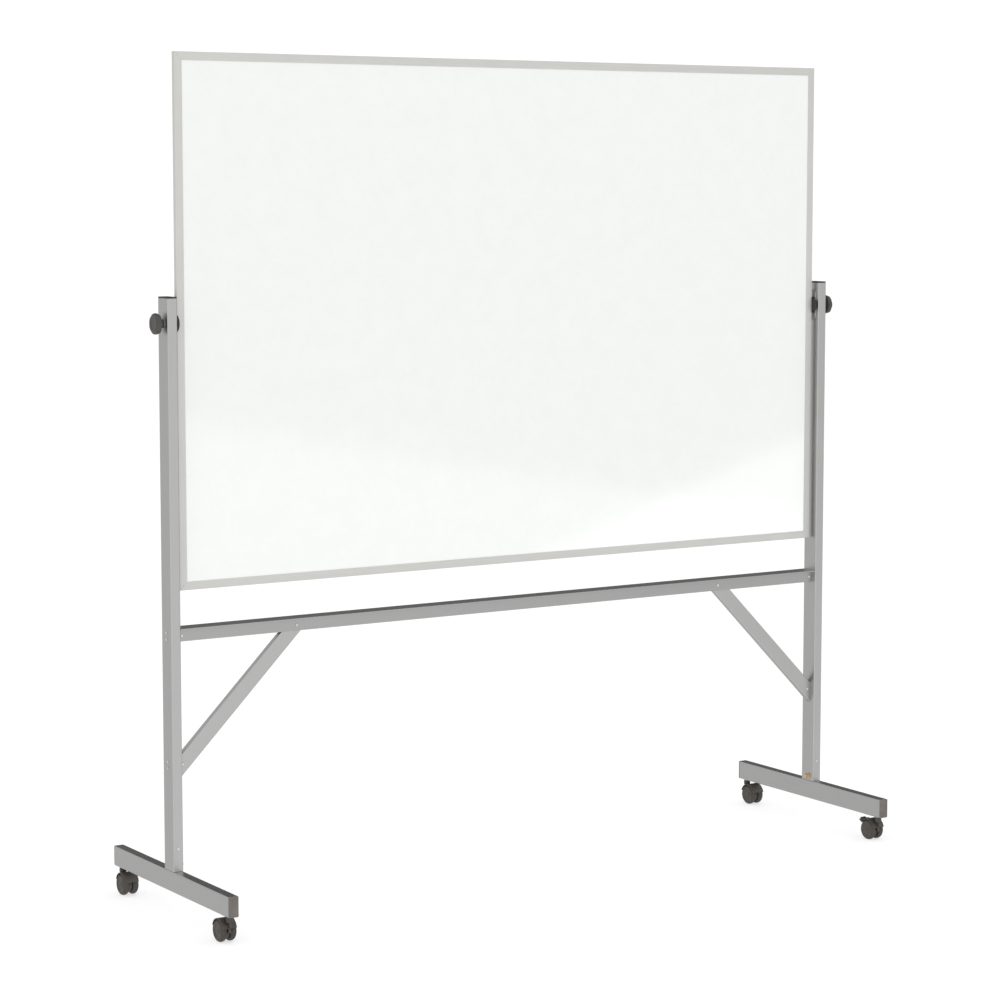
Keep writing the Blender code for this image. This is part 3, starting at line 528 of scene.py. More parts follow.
# Each finish: the record's material slot, and the material
FINISHES = {
    # The bar is the same alloy as the posts; its copy is darkened to 0.87 of the stand colour as
    # painted shade
    "bar_x_painted_shade": ("stand_alloy", drawn_alloy("bar alloy darkened as painted shade", shade(STAND_COLOUR, 0.87), 0.36, "x")),
    # The feet are the same alloy as the posts; their copy is darkened to 0.96 of the stand colour as
    # painted shade
    "stand_y_painted_shade": (
        "stand_alloy",
        drawn_alloy("stand alloy along y darkened as painted shade", shade(STAND_COLOUR, 0.96), 0.30, "y"),
    ),
    "stand_z": ("stand_alloy", drawn_alloy("stand alloy along z", STAND_COLOUR, 0.36, "z")),
    "frame_x": (
        "frame_alloy",
        drawn_alloy("frame alloy along x", FRAME_COLOUR, 0.42, "x", FRAME_METALLIC),
    ),
    "frame_z": (
        "frame_alloy",
        drawn_alloy("frame alloy along z", FRAME_COLOUR, 0.42, "z", FRAME_METALLIC),
    ),
    "cleat": ("cleat_alloy", bright_metal("cleat alloy", (0.60, 0.60, 0.59), 0.34)),
    # Rivet heads: a lighter copy of the cleat alloy (0.80 against 0.60) as a painted highlight, so
    # that they show as bright dots
    "rivet": ("cleat_alloy", bright_metal("rivet heads", (0.80, 0.80, 0.79), 0.30)),
    "zinc": ("zinc_steel", bright_metal("zinc plate", (0.62, 0.62, 0.64), 0.26)),
    # The axle is the same zinc-plated steel as the stud; its copy is darkened nearly to black as
    # painted shade where it sits in the wheels' hubs
    "axle": ("zinc_steel", bright_metal("axle darkened as painted shade", (0.16, 0.155, 0.15), 0.42)),
    "brass": ("brass", bright_metal("brass bolt", (0.76, 0.55, 0.29), 0.28)),
    "writing": ("writing_surface", writing_laminate("writing laminate")),
    "core": ("core_board", pressed_fibre("fibre core")),
    "cap": ("black_plastic", moulded_plastic("black cap plastic", (0.028, 0.027, 0.025), 0.42)),
    "knob": ("knob_plastic", moulded_plastic("knob plastic", (0.062, 0.058, 0.052), 0.42)),
    "hood": ("hood_plastic", moulded_plastic("hood plastic", (0.062, 0.055, 0.047), 0.40)),
    "wheel": ("wheel_plastic", moulded_plastic("wheel plastic", (0.070, 0.062, 0.053), 0.43)),
    "tread": ("wheel_plastic", moulded_plastic("tread", (0.053, 0.047, 0.041), 0.60, 700.0)),
    "plug": ("plug_plastic", moulded_plastic("plug plastic", (0.165, 0.147, 0.133), 0.52)),
}


def painted(piece, paint):
    piece.data.materials.clear()
    piece.data.materials.append(FINISHES[paint][1])
    return piece


def settled(piece, paint, body, node):
    """Paints a piece if it has no paint yet, and puts it on its body in place of its node."""
    if not piece.data.materials:
        painted(piece, paint)
    weighted = piece.modifiers.new("Flat faces stay flat", "WEIGHTED_NORMAL")
    weighted.keep_sharp = True
    weighted.weight = 90
    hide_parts(node)
    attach(piece, body)
    return piece


# -------------------- stand


def tube(name, wide, deep, low, high):
    """A hollow rectangular tube along local Z with softened ends."""
    outer = rectangle(wide, deep, TUBE_CORNER, 5)
    inner = rectangle(wide - 2 * WALL, deep - 2 * WALL, TUBE_CORNER / 2, 5)
    inset = scaled(outer, TUBE_EDGE, wide, deep)
    rings = [
        ring(inset, low),
        ring(outer, low + TUBE_EDGE),
        ring(outer, high - TUBE_EDGE),
        ring(inset, high),
        ring(inner, high),
        ring(inner, low),
    ]
    return loft(name, rings, closed=True, angle=50)


def rivet():
    """A domed rivet head standing on local Z = 0."""
    rim, dome = 0.18 * RIVET_HIGH, 0.82 * RIVET_HIGH
    profile = [(RIVET_RADIUS, 0.0), (RIVET_RADIUS, rim)]
    for degrees in range(15, 90, 15):
        across, up = polar(1.0, degrees)
        profile.append((RIVET_RADIUS * across**0.8, rim + dome * up))
    profile.append((0.12 * RIVET_RADIUS, RIVET_HIGH))
    return lathe("rivet", profile, 24, closed=False, angle=60)


def dome_rivets(name, spots):
    """One object of rivet heads, painted. Each spot is (x, y, z, axis, sign)."""
    heads = []
    for x, y, z, axis, sign in spots:
        turn = outward(sign) if axis == "X" else facing_y(sign)
        heads.append(moved(rivet(), at(x, y, z) @ turn))
    return painted(joined(name, heads), "rivet")


def make_post(side):
    low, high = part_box(f"{side}_post")
    wide, deep = high.x - low.x, high.y - low.y
    post = tube(f"{side}_post_skin", wide, deep, low.z, high.z)
    moved(post, at((low.x + high.x) / 2, 0, 0))
    settled(post, "stand_z", "stand", f"{side}_post")


def make_post_cap(side):
    low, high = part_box(f"{side}_post_cap")
    post_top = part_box(f"{side}_post")[1].z
    wide, deep = high.x - low.x, high.y - low.y
    outer = rectangle(wide, deep, TUBE_CORNER, 5)
    start = post_top + GAP
    steps = [
        (CAP_PLUG_INSET, low.z + 0.002),
        (CAP_PLUG_INSET, start),
        (0.0002, start),
        (0.0, start + 0.0003),
        (0.0, high.z - 0.0011),
        (0.0002, high.z - 0.0006),
        (0.0007, high.z - 0.0002),
        (0.0016, high.z),
    ]
    rings = [ring(scaled(outer, inset, wide, deep), height) for inset, height in steps]
    cap = moved(loft(f"{side}_cap_skin", rings), at((low.x + high.x) / 2, 0, 0))
    settled(cap, "cap", "stand", f"{side}_post_cap")


def make_foot(side):
    """The floor tube, its spigot and the spigot's rivets."""
    low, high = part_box(f"{side}_foot")
    plug_low, plug_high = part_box(f"{side}_front_foot_plug")
    x = middle(f"{side}_post").x
    deep = plug_high.z - plug_low.z
    wide = plug_high.x - plug_low.x
    centre_z = (plug_low.z + plug_high.z) / 2
    floor_tube = tube(f"{side}_floor_tube", wide, deep, low.y, high.y)
    moved(floor_tube, at(x, 0, centre_z) @ ALONG_Y)
    painted(floor_tube, "stand_y_painted_shade")
    post_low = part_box(f"{side}_post")[0].z
    spigot = tube(f"{side}_spigot", *SPIGOT, post_low - 0.0005, high.z)
    painted(moved(spigot, at(x, 0, 0)), "cleat")
    rivet_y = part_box(f"{side}_post")[1].y + GAP
    heads = dome_rivets(
        f"{side}_spigot_rivets",
        [(x, rivet_y, SPIGOT_RIVET_Z, "Y", 1), (x, -rivet_y, SPIGOT_RIVET_Z, "Y", -1)],
    )
    foot = joined(f"{side}_foot_skin", [floor_tube, spigot, heads])
    settled(foot, "stand_y_painted_shade", "stand", f"{side}_foot")


def make_foot_plug(side, end, direction):
    """The moulded end plug: a crowned flange, a panel pressed into it, and the body in the tube."""
    node = f"{side}_{end}_foot_plug"
    low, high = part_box(node)
    wide, tall = high.x - low.x, high.z - low.z
    outer = rectangle(wide, tall, TUBE_CORNER, 5)
    panel = rectangle(wide - 2 * PLUG_PANEL_INSET, tall - 2 * PLUG_PANEL_INSET, 0.0012, 5)
    fit = 2 * (WALL + GAP)
    body = rectangle(wide - fit, tall - fit, 0.001, 5)
    crown = [
        (0.0002, -PLUG_FLANGE),
        (0.0, -PLUG_FLANGE + 0.0002),
        (0.0, -0.0010),
        (0.0002, -0.0005),
        (0.0005, -0.0002),
        (0.0011, 0.0),
    ]
    rings = [ring(body, low.y - high.y), ring(body, -PLUG_FLANGE)]
    rings += [ring(scaled(outer, inset, wide, tall), height) for inset, height in crown]
    rings += [ring(panel, 0.0), ring([(u * 0.985, v * 0.99) for u, v in panel], -0.0004)]
    plug = loft(f"{node}_skin", rings)
    face = high.y if direction > 0 else low.y
    place = at((low.x + high.x) / 2, face, (low.z + high.z) / 2)
    moved(plug, place @ facing_y(direction))
    settled(plug, "plug", "stand", node)


def make_cross_bar():
    """The inverted channel under its flange, with the folded metal's small bend radii."""
    low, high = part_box("cross_bar")
    half, top, bottom = high.y, high.z, low.z
    under, web, wall = top - BAR_FLANGE, BAR_WEB, WALL
    corners = [
        (half, top, 0.0012),
        (-half, top, 0.0012),
        (-half, under, 0.0008),
        (-web, under, 0.0009),
        (-web, bottom, 0.0005),
        (wall - web, bottom, 0.0005),
        (wall - web, under, 0.0009),
        (web - wall, under, 0.0009),
        (web - wall, bottom, 0.0005),
        (web, bottom, 0.0005),
        (web, under, 0.0009),
        (half, under, 0.0008),
    ]
    bar = prism("cross_bar_skin", filleted(corners, 4), low.x, high.x, angle=50)
    settled(moved(bar, ALONG_X), "bar_x_painted_shade", "stand", "cross_bar")


def make_brace(side, sign):
    """A flat tube at 45 degrees; its ends are mitred to the post and to the bar's flange."""
    low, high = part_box(f"{side}_brace")
    thick = 2 * BRACE_HALF
    wide = BRACE_WIDE
    run = (high.z - low.z - wide * math.sqrt(2)) * math.sqrt(2) / 2 + wide / 2
    outer = rectangle(wide, thick, 0.0018, 5)
    inner = rectangle(wide - 2 * WALL, thick - 2 * WALL, 0.0008, 5)
    rings = []
    for outline, end in ((outer, -1), (outer, 1), (inner, 1), (inner, -1)):
        rings.append([Vector((u, v, end * (run - u))) for u, v in outline])
    brace = loft(f"{side}_brace_tube", rings, closed=True, angle=50)
    painted(brace, "stand_z")
    foot_x = max(abs(low.x), abs(high.x))
    middle_x = (foot_x + BRACE_LINE - high.z) / 2
    lean = Matrix.Rotation(-sign * math.pi / 4, 4, "Y")
    if sign < 0:
        lean = lean @ Matrix.Rotation(math.pi, 4, "Z")
    moved(brace, at(sign * middle_x, 0, BRACE_LINE - middle_x) @ lean)
    rivet_x = sign * (BRACE_LINE - BAR_RIVET_Z)
    face = BAR_WEB + GAP
    heads = dome_rivets(
        f"{side}_brace_rivets",
        [(rivet_x, face, BAR_RIVET_Z, "Y", 1), (rivet_x, -face, BAR_RIVET_Z, "Y", -1)],
    )
    whole = joined(f"{side}_brace_skin", [brace, heads])
    settled(whole, "stand_z", "stand", f"{side}_brace")


def make_cleat(side, sign, label):
    """A folded cleat: a back plate, two tabs with round bends, and domed rivets."""
    node = f"{side}_{label}_cleat"
    low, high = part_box(node)
    post_low, post_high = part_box(f"{side}_post")
    face = post_low.x if sign > 0 else post_high.x
    length, tab, across = CLEATS[label]
    plate = CLEAT_PLATE
    corners = [
        (tab, 0.0, 0.0024),
        (tab, -length, 0.0006),
        (tab - plate, -length, 0.0006),
        (tab - plate, -plate, 0.0008),
        (plate - tab, -plate, 0.0008),
        (plate - tab, -length, 0.0006),
        (-tab, -length, 0.0006),
        (-tab, 0.0, 0.0024),
    ]
    bracket = prism(node + "_plate", filleted(corners, 4), low.z, high.z, angle=50)
    turn = Matrix(((0, sign, 0, 0), (1, 0, 0, 0), (0, 0, 1, 0), (0, 0, 0, 1)))
    moved(bracket, at(face - sign * GAP, 0, 0) @ turn)
    outer = (post_high.x if sign > 0 else post_low.x) + sign * GAP
    level = (low.z + high.z) / 2
    spots = [(outer, 0, level + way * RIVET_PITCH / 2, "X", sign) for way in (-1, 1)]
    spots += [(sign * CLEAT_RIVET_X, way * across, level, "Y", way) for way in (-1, 1)]
    painted(bracket, "cleat")
    heads = dome_rivets(node + "_rivets", spots)
    whole = joined(node + "_skin", [bracket, heads])
    settled(whole, "cleat", "stand", node)


def make_base_bolt(side, sign):
    """A flanged hex bolt with a chamfered crown."""
    node = f"{side}_base_bolt"
    low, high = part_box(node)
    post_low, post_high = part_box(f"{side}_post")
    seat = (post_low.x if sign > 0 else post_high.x) - sign * GAP
    reach = abs((low.x if sign > 0 else high.x) - seat)
    flange = lathe(
        node + "_flange",
        [(0.0076, 0.0), (0.0078, 0.0005), (0.0074, 0.0012), (0.0066, 0.0018)],
        36,
        closed=False,
    )
    hexagon = arc(HEX_RADIUS, 30, 330, 5)
    head = prism(node + "_hex", hexagon, 0.001, reach - 0.0006)
    crown = lathe(
        node + "_crown",
        [(0.0058, reach - 0.0007), (0.0056, reach - 0.0003), (0.0048, reach)],
        36,
        closed=False,
    )
    bevel(head, 0.0005, 2)
    radius, length = BOLT_SHANK
    shank = lathe(node + "_shank", [(radius, -length), (radius, 0.0002)], 24, closed=False)
    bolt = joined(node + "_skin", [flange, head, crown, shank])
    moved(bolt, at(seat, 0, middle(node).z) @ outward(-sign))
    settled(bolt, "brass", "stand", node)


def make_pivot_plate(side, sign):
    """The oblong plate that the spacer disc turns against, with a hole for the stud."""
    node = f"{side}_pivot_plate"
    low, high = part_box(node)
    wide, tall, thick = high.y - low.y, high.z - low.z, high.x - low.x
    bend = tall / 2 - wide / 2
    outline = arc(wide / 2, 0, 180, 20, (0, bend)) + arc(wide / 2, 180, 360, 20, (0, -bend))
    edge = PLATE_EDGE
    inner = [polar(STUD_HOLE, math.degrees(math.atan2(v, u))) for u, v in outline]
    inset = [(u * (1 - 2 * edge / wide), v * (1 - 2 * edge / tall)) for u, v in outline]
    rings = [
        ring(inset, -thick / 2),
        ring(outline, -thick / 2 + edge),
        ring(outline, thick / 2 - edge),
        ring(inset, thick / 2),
        ring(inner, thick / 2),
        ring(inner, -thick / 2),
    ]
    plate = loft(node + "_skin", rings, closed=True)
    moved(plate, at((low.x + high.x) / 2, 0, PIVOT_Z) @ outward(sign))
    settled(plate, "stand_z", "stand", node)


def make_stem(side, end):
    """A caster stem with a grip ring near its top and a collar under the foot."""
    node = f"{side}_{end}_caster_stem"
    low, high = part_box(node)
    centre = middle(node)
    collar_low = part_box(f"{side}_{end}_caster_housing")[1].z + GAP
    collar_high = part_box(f"{side}_{end}_foot_plug")[0].z - GAP
    r = STEM_RADIUS
    bottom = max(low.z, NECK_LOW)
    profile = [
        (0.0008, bottom),
        (r - 0.0006, bottom),
        (r, bottom + 0.0006),
        (r, collar_low),
        (COLLAR_RADIUS - 0.0006, collar_low),
        (COLLAR_RADIUS, collar_low + 0.0005),
        (COLLAR_RADIUS, collar_high - 0.0005),
        (COLLAR_RADIUS - 0.0006, collar_high),
        (r, collar_high),
        (r, high.z - 0.010),
        (r - 0.0008, high.z - 0.0095),
        (r - 0.0008, high.z - 0.0075),
        (r, high.z - 0.007),
        (r, high.z - 0.002),
        (r - 0.0015, high.z),
        (0.0008, high.z),
    ]
    stem = lathe(node + "_skin", profile, 32, closed=False)
    moved(stem, at(centre.x, centre.y, 0))
    settled(stem, "zinc", "stand", node)


# -------------------- board


def rail_corners(face, half):
    """The rail's channel section with a softly rounded lip; 0 is its outer edge."""
    return [
        (half, 0.0, 0.0014),
        (half, -face, 0.0007),
        (half - RAIL_LIP, -face, 0.0002),
        (half - RAIL_LIP, -RAIL_WEB, 0.0002),
        (RAIL_LIP - half, -RAIL_WEB, 0.0002),
        (RAIL_LIP - half, -face, 0.0002),
        (-half, -face, 0.0007),
        (-half, 0.0, 0.0014),
    ]


def make_rail(node, turn_degrees):
    """A rail with mitred ends, made as the top rail and turned to its side of the board."""
    low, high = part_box(node)
    extent = high - low
    length = max(extent.x, extent.z) + 2 * MITRE_GAP
    face = min(extent.x, extent.z)
    outline = filleted(rail_corners(face, extent.y / 2), 4)
    rings = []
    for end in (-1, 1):
        rings.append([Vector((end * (length / 2 - MITRE_GAP + v), u, v)) for u, v in outline])
    rail = loft(node + "_skin", rings, angle=45)
    turn = Matrix.Rotation(math.radians(turn_degrees), 4, "Y")
    out = turn @ Vector((0, 0, 1))
    board_low, board_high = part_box("left_rail")[0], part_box("right_rail")[1]
    half_wide = (board_high.x - board_low.x) / 2
    half_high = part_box("top_rail")[1].z - PIVOT_Z
    reach = half_high if abs(out.z) > 0.5 else half_wide
    moved(rail, at(0, 0, PIVOT_Z) @ Matrix.Translation(out * reach) @ turn)
    paint = "frame_x" if abs(out.z) > 0.5 else "frame_z"
    settled(rail, paint, "board", node)


def make_sheet(node):
    """A writing sheet: a thin laminate face with a fine soft edge."""
    low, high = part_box(node)
    wide, tall = high.x - low.x, high.z - low.z
    thick = high.y - low.y
    outline = rectangle(wide, tall, 0.001, 3)
    rings = [
        ring(outline, -thick / 2),
        ring(outline, thick / 2 - 0.0001),
        ring(scaled(outline, 0.0001, wide, tall), thick / 2),
    ]
    sheet = loft(node + "_skin", rings, angle=20)
    y = middle(node).y
    moved(sheet, at(0, y, PIVOT_Z) @ facing_y(1 if y > 0 else -1))
    settled(sheet, "writing", "board", node)


def make_spacer(side, sign):
    """The friction disc, with a groove round its rim."""
    node = f"{side}_spacer_disc"
    half, radius = half_and_radius(node)
    profile = [
        (STUD_HOLE, -half),
        (radius - 0.0008, -half),
        (radius - 0.0002, -half + 0.0002),
        (radius, -half + 0.0007),
        (radius, -0.0006),
        (radius - 0.0006, -0.0003),
        (radius - 0.0006, 0.0003),
        (radius, 0.0006),
        (radius, half - 0.0007),
        (radius - 0.0002, half - 0.0002),
        (radius - 0.0008, half),
        (STUD_HOLE, half),
    ]
    disc = lathe(node + "_skin", profile, 64)
    moved(disc, at(middle(node).x, 0, PIVOT_Z) @ outward(sign))
    settled(disc, "cap", "board", node)


# -------------------- clamp knobs


def make_washer(side, sign):
    node = f"{side}_knob_washer"
    half, radius = half_and_radius(node)
    profile = [
        (STUD_HOLE, -half),
        (radius - 0.0003, -half),
        (radius, -half + 0.0003),
        (radius, half - 0.0005),
        (radius - 0.0006, half),
        (STUD_HOLE, half),
    ]
    washer = lathe(node + "_skin", profile, 48)
    moved(washer, at(middle(node).x, 0, PIVOT_Z) @ outward(sign))
    settled(washer, "zinc", f"{side}_clamp_washer", node)


def make_knob(side, sign):
    """A lobed knob: a waisted hub that flares into a rounded grip with a dished face."""
    node = f"{side}_clamp_knob"
    low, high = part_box(node)
    length = high.x - low.x
    grip = max(high.z - PIVOT_Z, PIVOT_Z - low.z)
    sides = 14 * KNOB_LOBES
    start = length - KNOB_RIM
    # Radius, height, and how much of the lobes' depth shows there
    profile = [
        (0.0034, 0.0, 0.0),
        (KNOB_HUB - 0.0007, 0.0, 0.0),
        (KNOB_HUB, 0.0007, 0.0),
        (KNOB_HUB, start - 0.0030, 0.0),
        (0.0118, start - 0.0008, 0.0),
        (0.0150, start + 0.0002, 0.2),
        (grip - 0.0030, start + 0.0006, 1.0),
        (grip - 0.0010, start + 0.0018, 1.0),
        (grip, start + 0.0044, 1.0),
        (grip, length - 0.0050, 1.0),
        (grip - 0.0008, length - 0.0026, 1.0),
        (grip - 0.0026, length - 0.0009, 0.95),
        (grip - 0.0054, length - 0.0001, 0.75),
        (0.0140, length, 0.35),
        (0.0125, length - 0.0002, 0.1),
        (0.0118, length - 0.0007, 0.0),
        (0.0030, length - 0.0008, 0.0),
        (0.0006, length - 0.0008, 0.0),
    ]
    rings = []
    for radius, height, lobed in profile:
        points = []
        for n in range(sides):
            angle = 2 * math.pi * n / sides
            valley = abs(math.cos(KNOB_LOBES * angle / 2)) ** 4
            reach = radius - lobed * KNOB_VALLEY * valley
            points.append(Vector((reach * math.cos(angle), reach * math.sin(angle), height)))
        rings.append(points)
    knob = loft(node + "_skin", rings, angle=50)
    inner = low.x if sign > 0 else high.x
    moved(knob, at(inner, 0, PIVOT_Z) @ outward(sign))
    settled(knob, "knob", f"{side}_clamp", node)


def make_stud(side, sign):
    """The clamp stud with its rolled thread."""
    node = f"{side}_knob_stud"
    low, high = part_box(node)
    length = high.x - low.x
    radius = (high.z - low.z) / 2
    sides = 20
    steps = int(length / THREAD_PITCH * 6)
    rings = []
    for step in range(steps + 1):
        along = length * step / steps
        ramp = min(1.0, along / 0.002, (length - along) / 0.002)
        points = []
        for n in range(sides):
            turn = n / sides
            phase = (along / THREAD_PITCH - turn) % 1.0
            depth = THREAD_DEPTH * abs(2 * phase - 1)
            reach = (radius - depth) * (0.78 + 0.22 * ramp)
            angle = 2 * math.pi * turn
            points.append(Vector((reach * math.cos(angle), reach * math.sin(angle), along)))
        rings.append(points)
    stud = loft(node + "_skin", rings, angle=60)
    inner = low.x if sign > 0 else high.x
    moved(stud, at(inner, 0, PIVOT_Z) @ outward(sign))
    settled(stud, "zinc", f"{side}_clamp", node)


# -------------------- casters


def make_wheel(side, end, which):
    """A wheel: crowned tread, stepped and dished outer face with a hub cap, hollow inside."""
    node = f"{side}_{end}_{which}_wheel"
    half, radius = half_and_radius(node)
    way = SIDES[side] * (1 if which == "outer" else -1)
    crown = [(radius - 0.0040, -half)]
    for step in range(-6, 7):
        across = step / 6
        crown.append((radius - 0.0036 * abs(across) ** 2.6, 0.98 * half * across))
    crown += [(radius - 0.0044, half)]
    tread = lathe(node + "_tread", crown + [(radius - 0.0058, half), (radius - 0.0058, -half)], 72)
    painted(tread, "tread")
    face = [
        (radius - 0.0056, half - 0.0002),
        (radius - 0.0064, half - 0.0010),
        (0.0160, half - 0.0013),
        (0.0152, half - 0.0006),
        (0.0142, half - 0.0006),
        (0.0134, half - 0.0016),
        (0.0086, half - 0.0019),
        (0.0078, half - 0.0007),
        (0.0064, half - 0.0003),
        (0.0034, half - 0.0003),
        (0.0028, half - 0.0009),
        (0.0024, half - 0.0009),
        (0.0024, -half),
        (0.0075, -half),
        (0.0080, -half + 0.0003),
        (0.0080, half - 0.0042),
        (radius - 0.0080, half - 0.0042),
        (radius - 0.0068, -half + 0.0002),
        (radius - 0.0056, -half + 0.0002),
    ]
    disc = lathe(node + "_disc", face, 72)
    painted(disc, "wheel")
    ribs = []
    for n in range(6):
        reach = (0.0078, radius - 0.0066)
        rib = rectangle(reach[1] - reach[0], 0.0012, 0.0003, 2)
        piece = prism(f"{node}_rib_{n}", rib, -half + 0.0012, half - 0.004)
        shift = at((reach[0] + reach[1]) / 2, 0, 0)
        moved(piece, Matrix.Rotation(2 * math.pi * n / 6, 4, "Z") @ shift)
        ribs.append(painted(piece, "wheel"))
    wheel = joined(node + "_skin", [tread, disc] + ribs)
    moved(wheel, at(*middle(node)) @ outward(way))
    settled(wheel, "wheel", node, node)


def make_axle(side, end):
    node = f"{side}_{end}_caster_axle"
    half, radius = half_and_radius(node)
    profile = [
        (0.0004, -half),
        (radius - 0.0004, -half),
        (radius, -half + 0.0004),
        (radius, half - 0.0004),
        (radius - 0.0004, half),
        (0.0004, half),
    ]
    axle = lathe(node + "_skin", profile, 24, closed=False)
    moved(axle, at(*middle(node)) @ ALONG_X)
    # The axle finish is the zinc steel darkened as painted shade
    settled(axle, "axle", f"{side}_{end}_caster", node)


def brake_pivot(side, end):
    """Where the frame's joint turns this caster's brake lever."""
    joints = {joint["name"]: joint for joint in frame["joints"]}
    return joints[f"{side}_{end}_brake"]["pos_m"]


def make_housing(side, end):
    """Hood, fin, neck and ribs, from the frame's axle and stem places."""
    name = f"{side}_{end}_caster_housing"
    low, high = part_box(name)
    axle = middle(f"{side}_{end}_caster_axle")
    stem = middle(f"{side}_{end}_caster_stem")
    braked = (side, end) in BRAKED
    hood_stop = BRAKED_HOOD_STOP if braked else HOOD_STOP
    half_wide = (high.x - low.x) / 2
    place = side_profile(axle, -ENDS[end])
    top, tip, inner = HOOD_RADII
    band = tapered_arc(top, tip, HOOD_START, hood_stop, 28)
    band += arc(inner, hood_stop, HOOD_START, 28)
    hood = prism(name + "_hood", band, -half_wide, half_wide)
    moved(bevel(hood, 0.0003), place)
    fin_outline = arc(FIN_RADII[0], 184, 33, 28) + arc(FIN_RADII[1], 33, -176, 40)
    fin = prism(name + "_fin", fin_outline, -FIN_HALF, FIN_HALF)
    moved(bevel(fin, 0.0008), place)
    neck_top = high.z
    neck_profile = [
        (0.0046, NECK_LOW),
        (0.0070, NECK_LOW),
        (NECK_RADIUS - 0.0007, NECK_LOW + 0.0008),
        (NECK_RADIUS, NECK_LOW + 0.0032),
        (NECK_RADIUS, neck_top - 0.0006),
        (NECK_RADIUS - 0.0006, neck_top),
        (0.0050, neck_top),
        (0.0047, neck_top - 0.0005),
    ]
    neck = lathe(name + "_neck", neck_profile, 40)
    moved(neck, at(stem.x, stem.y, 0))
    web_outline = rectangle(2 * FIN_HALF, WEB_LONG, 0.0030, 5)
    web = prism(name + "_web", web_outline, WEB_LOW, NECK_LOW + 0.0002)
    moved(bevel(web, 0.0007), at(stem.x, stem.y, 0))
    pieces = [hood, fin, neck, web]
    if braked:
        bore, rim = EAR_RADII
        ear_profile = [(bore, -EAR_HALF), (rim, -EAR_HALF), (rim, EAR_HALF), (bore, EAR_HALF)]
        ear = lathe(name + "_ear", ear_profile, 32)
        pieces.append(moved(ear, at(*brake_pivot(side, end)) @ ALONG_X))
    housing = joined(name + "_skin", pieces)
    settled(housing, "hood", f"{side}_{end}_caster", name)


def make_lever(side, end):
    """The brake pedal: two cheeks with cams, a ridged tread plate, and its pin."""
    node = f"{side}_{end}_brake_lever"
    low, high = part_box(node)
    place = side_profile(brake_pivot(side, end), -ENDS[end])
    half_wide = (high.x - low.x) / 2
    cam = arc(LEVER_HUB, 100, 187, 8) + arc(LEVER_CAM, 214, 222, 2) + arc(LEVER_HUB, 249, 335, 8)
    blade = [(0.0072, 0.0014), (0.0138, 0.0054), (0.0145, 0.0064), (0.0140, 0.0074), (0.0068, 0.0044)]
    stub = [(0.0072, 0.0014), (0.0092, 0.0026), (0.0088, 0.0052), (0.0068, 0.0044)]
    pieces = []
    for way in (-1, 1):
        near, far = sorted((way * 0.0042, way * half_wide))
        cheek = prism(f"{node}_cheek_{way}", cam + stub, near, far)
        pieces.append(bevel(cheek, 0.0003, 2))
    pieces.append(bevel(prism(node + "_tread", blade, -TREAD_HALF, TREAD_HALF), 0.0003, 2))
    for n in range(4):
        u = 0.0082 + n * 0.0015
        ridge = rectangle(0.0006, 0.0006, 0.0002, 2)
        rib = prism(f"{node}_ridge_{n}", ridge, 0.001 - TREAD_HALF, TREAD_HALF - 0.001)
        pieces.append(moved(rib, at(u, 0.0038 + (u - 0.0068) * 0.40, 0)))
    pin_profile = [(0.0004, -0.0070), (LEVER_PIN, -0.0070), (LEVER_PIN, 0.0070), (0.0004, 0.0070)]
    pieces.append(lathe(node + "_pin", pin_profile, 20, closed=False))
    settled(moved(joined(node + "_skin", pieces), place), "hood", node, node)


# -------------------- all pieces


def build_stand():
    for side, sign in SIDES.items():
        make_post(side)
        make_post_cap(side)
        make_foot(side)
        make_brace(side, sign)
        make_cleat(side, sign, "bar")
        make_cleat(side, sign, "brace")
        make_base_bolt(side, sign)
        make_pivot_plate(side, sign)
        for end, direction in ENDS.items():
            make_foot_plug(side, end, direction)
            make_stem(side, end)
    make_cross_bar()


def build_board():
    make_rail("top_rail", 0)
    make_rail("right_rail", 90)
    make_rail("bottom_rail", 180)
    make_rail("left_rail", -90)
    for end in ENDS:
        make_sheet(f"{end}_writing_sheet")
    for side, sign in SIDES.items():
        make_spacer(side, sign)
        paint_node(f"{side}_pivot_block", "zinc")
    paint_node("board_core", "core")


def paint_node(node, paint):
    """Gives a CAD node its material, in each of its slots."""
    piece = frame["nodes"][node]
    for slot in piece.material_slots:
        slot.material = FINISHES[paint][1]


def build_clamps():
    for side, sign in SIDES.items():
        make_washer(side, sign)
        make_knob(side, sign)
        make_stud(side, sign)


def build_casters():
    for side in SIDES:
        for end in ENDS:
            make_housing(side, end)
            make_axle(side, end)
            for which in ("outer", "inner"):
                make_wheel(side, end, which)
            if (side, end) in BRAKED:
                make_lever(side, end)


# -------------------- studio


def make_camera():
    data = bpy.data.cameras.new("camera")
    data.lens = CAMERA_LENS
    data.sensor_width = 36
    data.shift_x, data.shift_y = CAMERA_SHIFT
    data.clip_end = 200
    camera = bpy.data.objects.new("camera", data)
    camera.location = CAMERA_PLACE
    camera.rotation_euler = (math.pi / 2 - CAMERA_PITCH, 0, -CAMERA_YAW)
    bpy.context.scene.collection.objects.link(camera)
    bpy.context.scene.camera = camera


def make_floor():
    bm = bmesh.new()
    bmesh.ops.create_grid(bm, x_segments=2, y_segments=2, size=FLOOR_SIZE / 2)
    floor = mesh_object("studio_floor", bm)
    nodes = Nodes("studio floor")
    dust = nodes.blended(nodes.noise(scale=3.0, detail=3.0), FLOOR_DARK, FLOOR_LIGHT)
    nodes.link(dust, nodes.shader.inputs["Base Color"])
    nodes.set(Roughness=0.9, Emission_Color=(1, 1, 1, 1), Emission_Strength=FLOOR_GLOW)
    nodes.set(Specular_IOR_Level=0.1)
    floor.data.materials.append(nodes.material)
    floor.visible_glossy = False


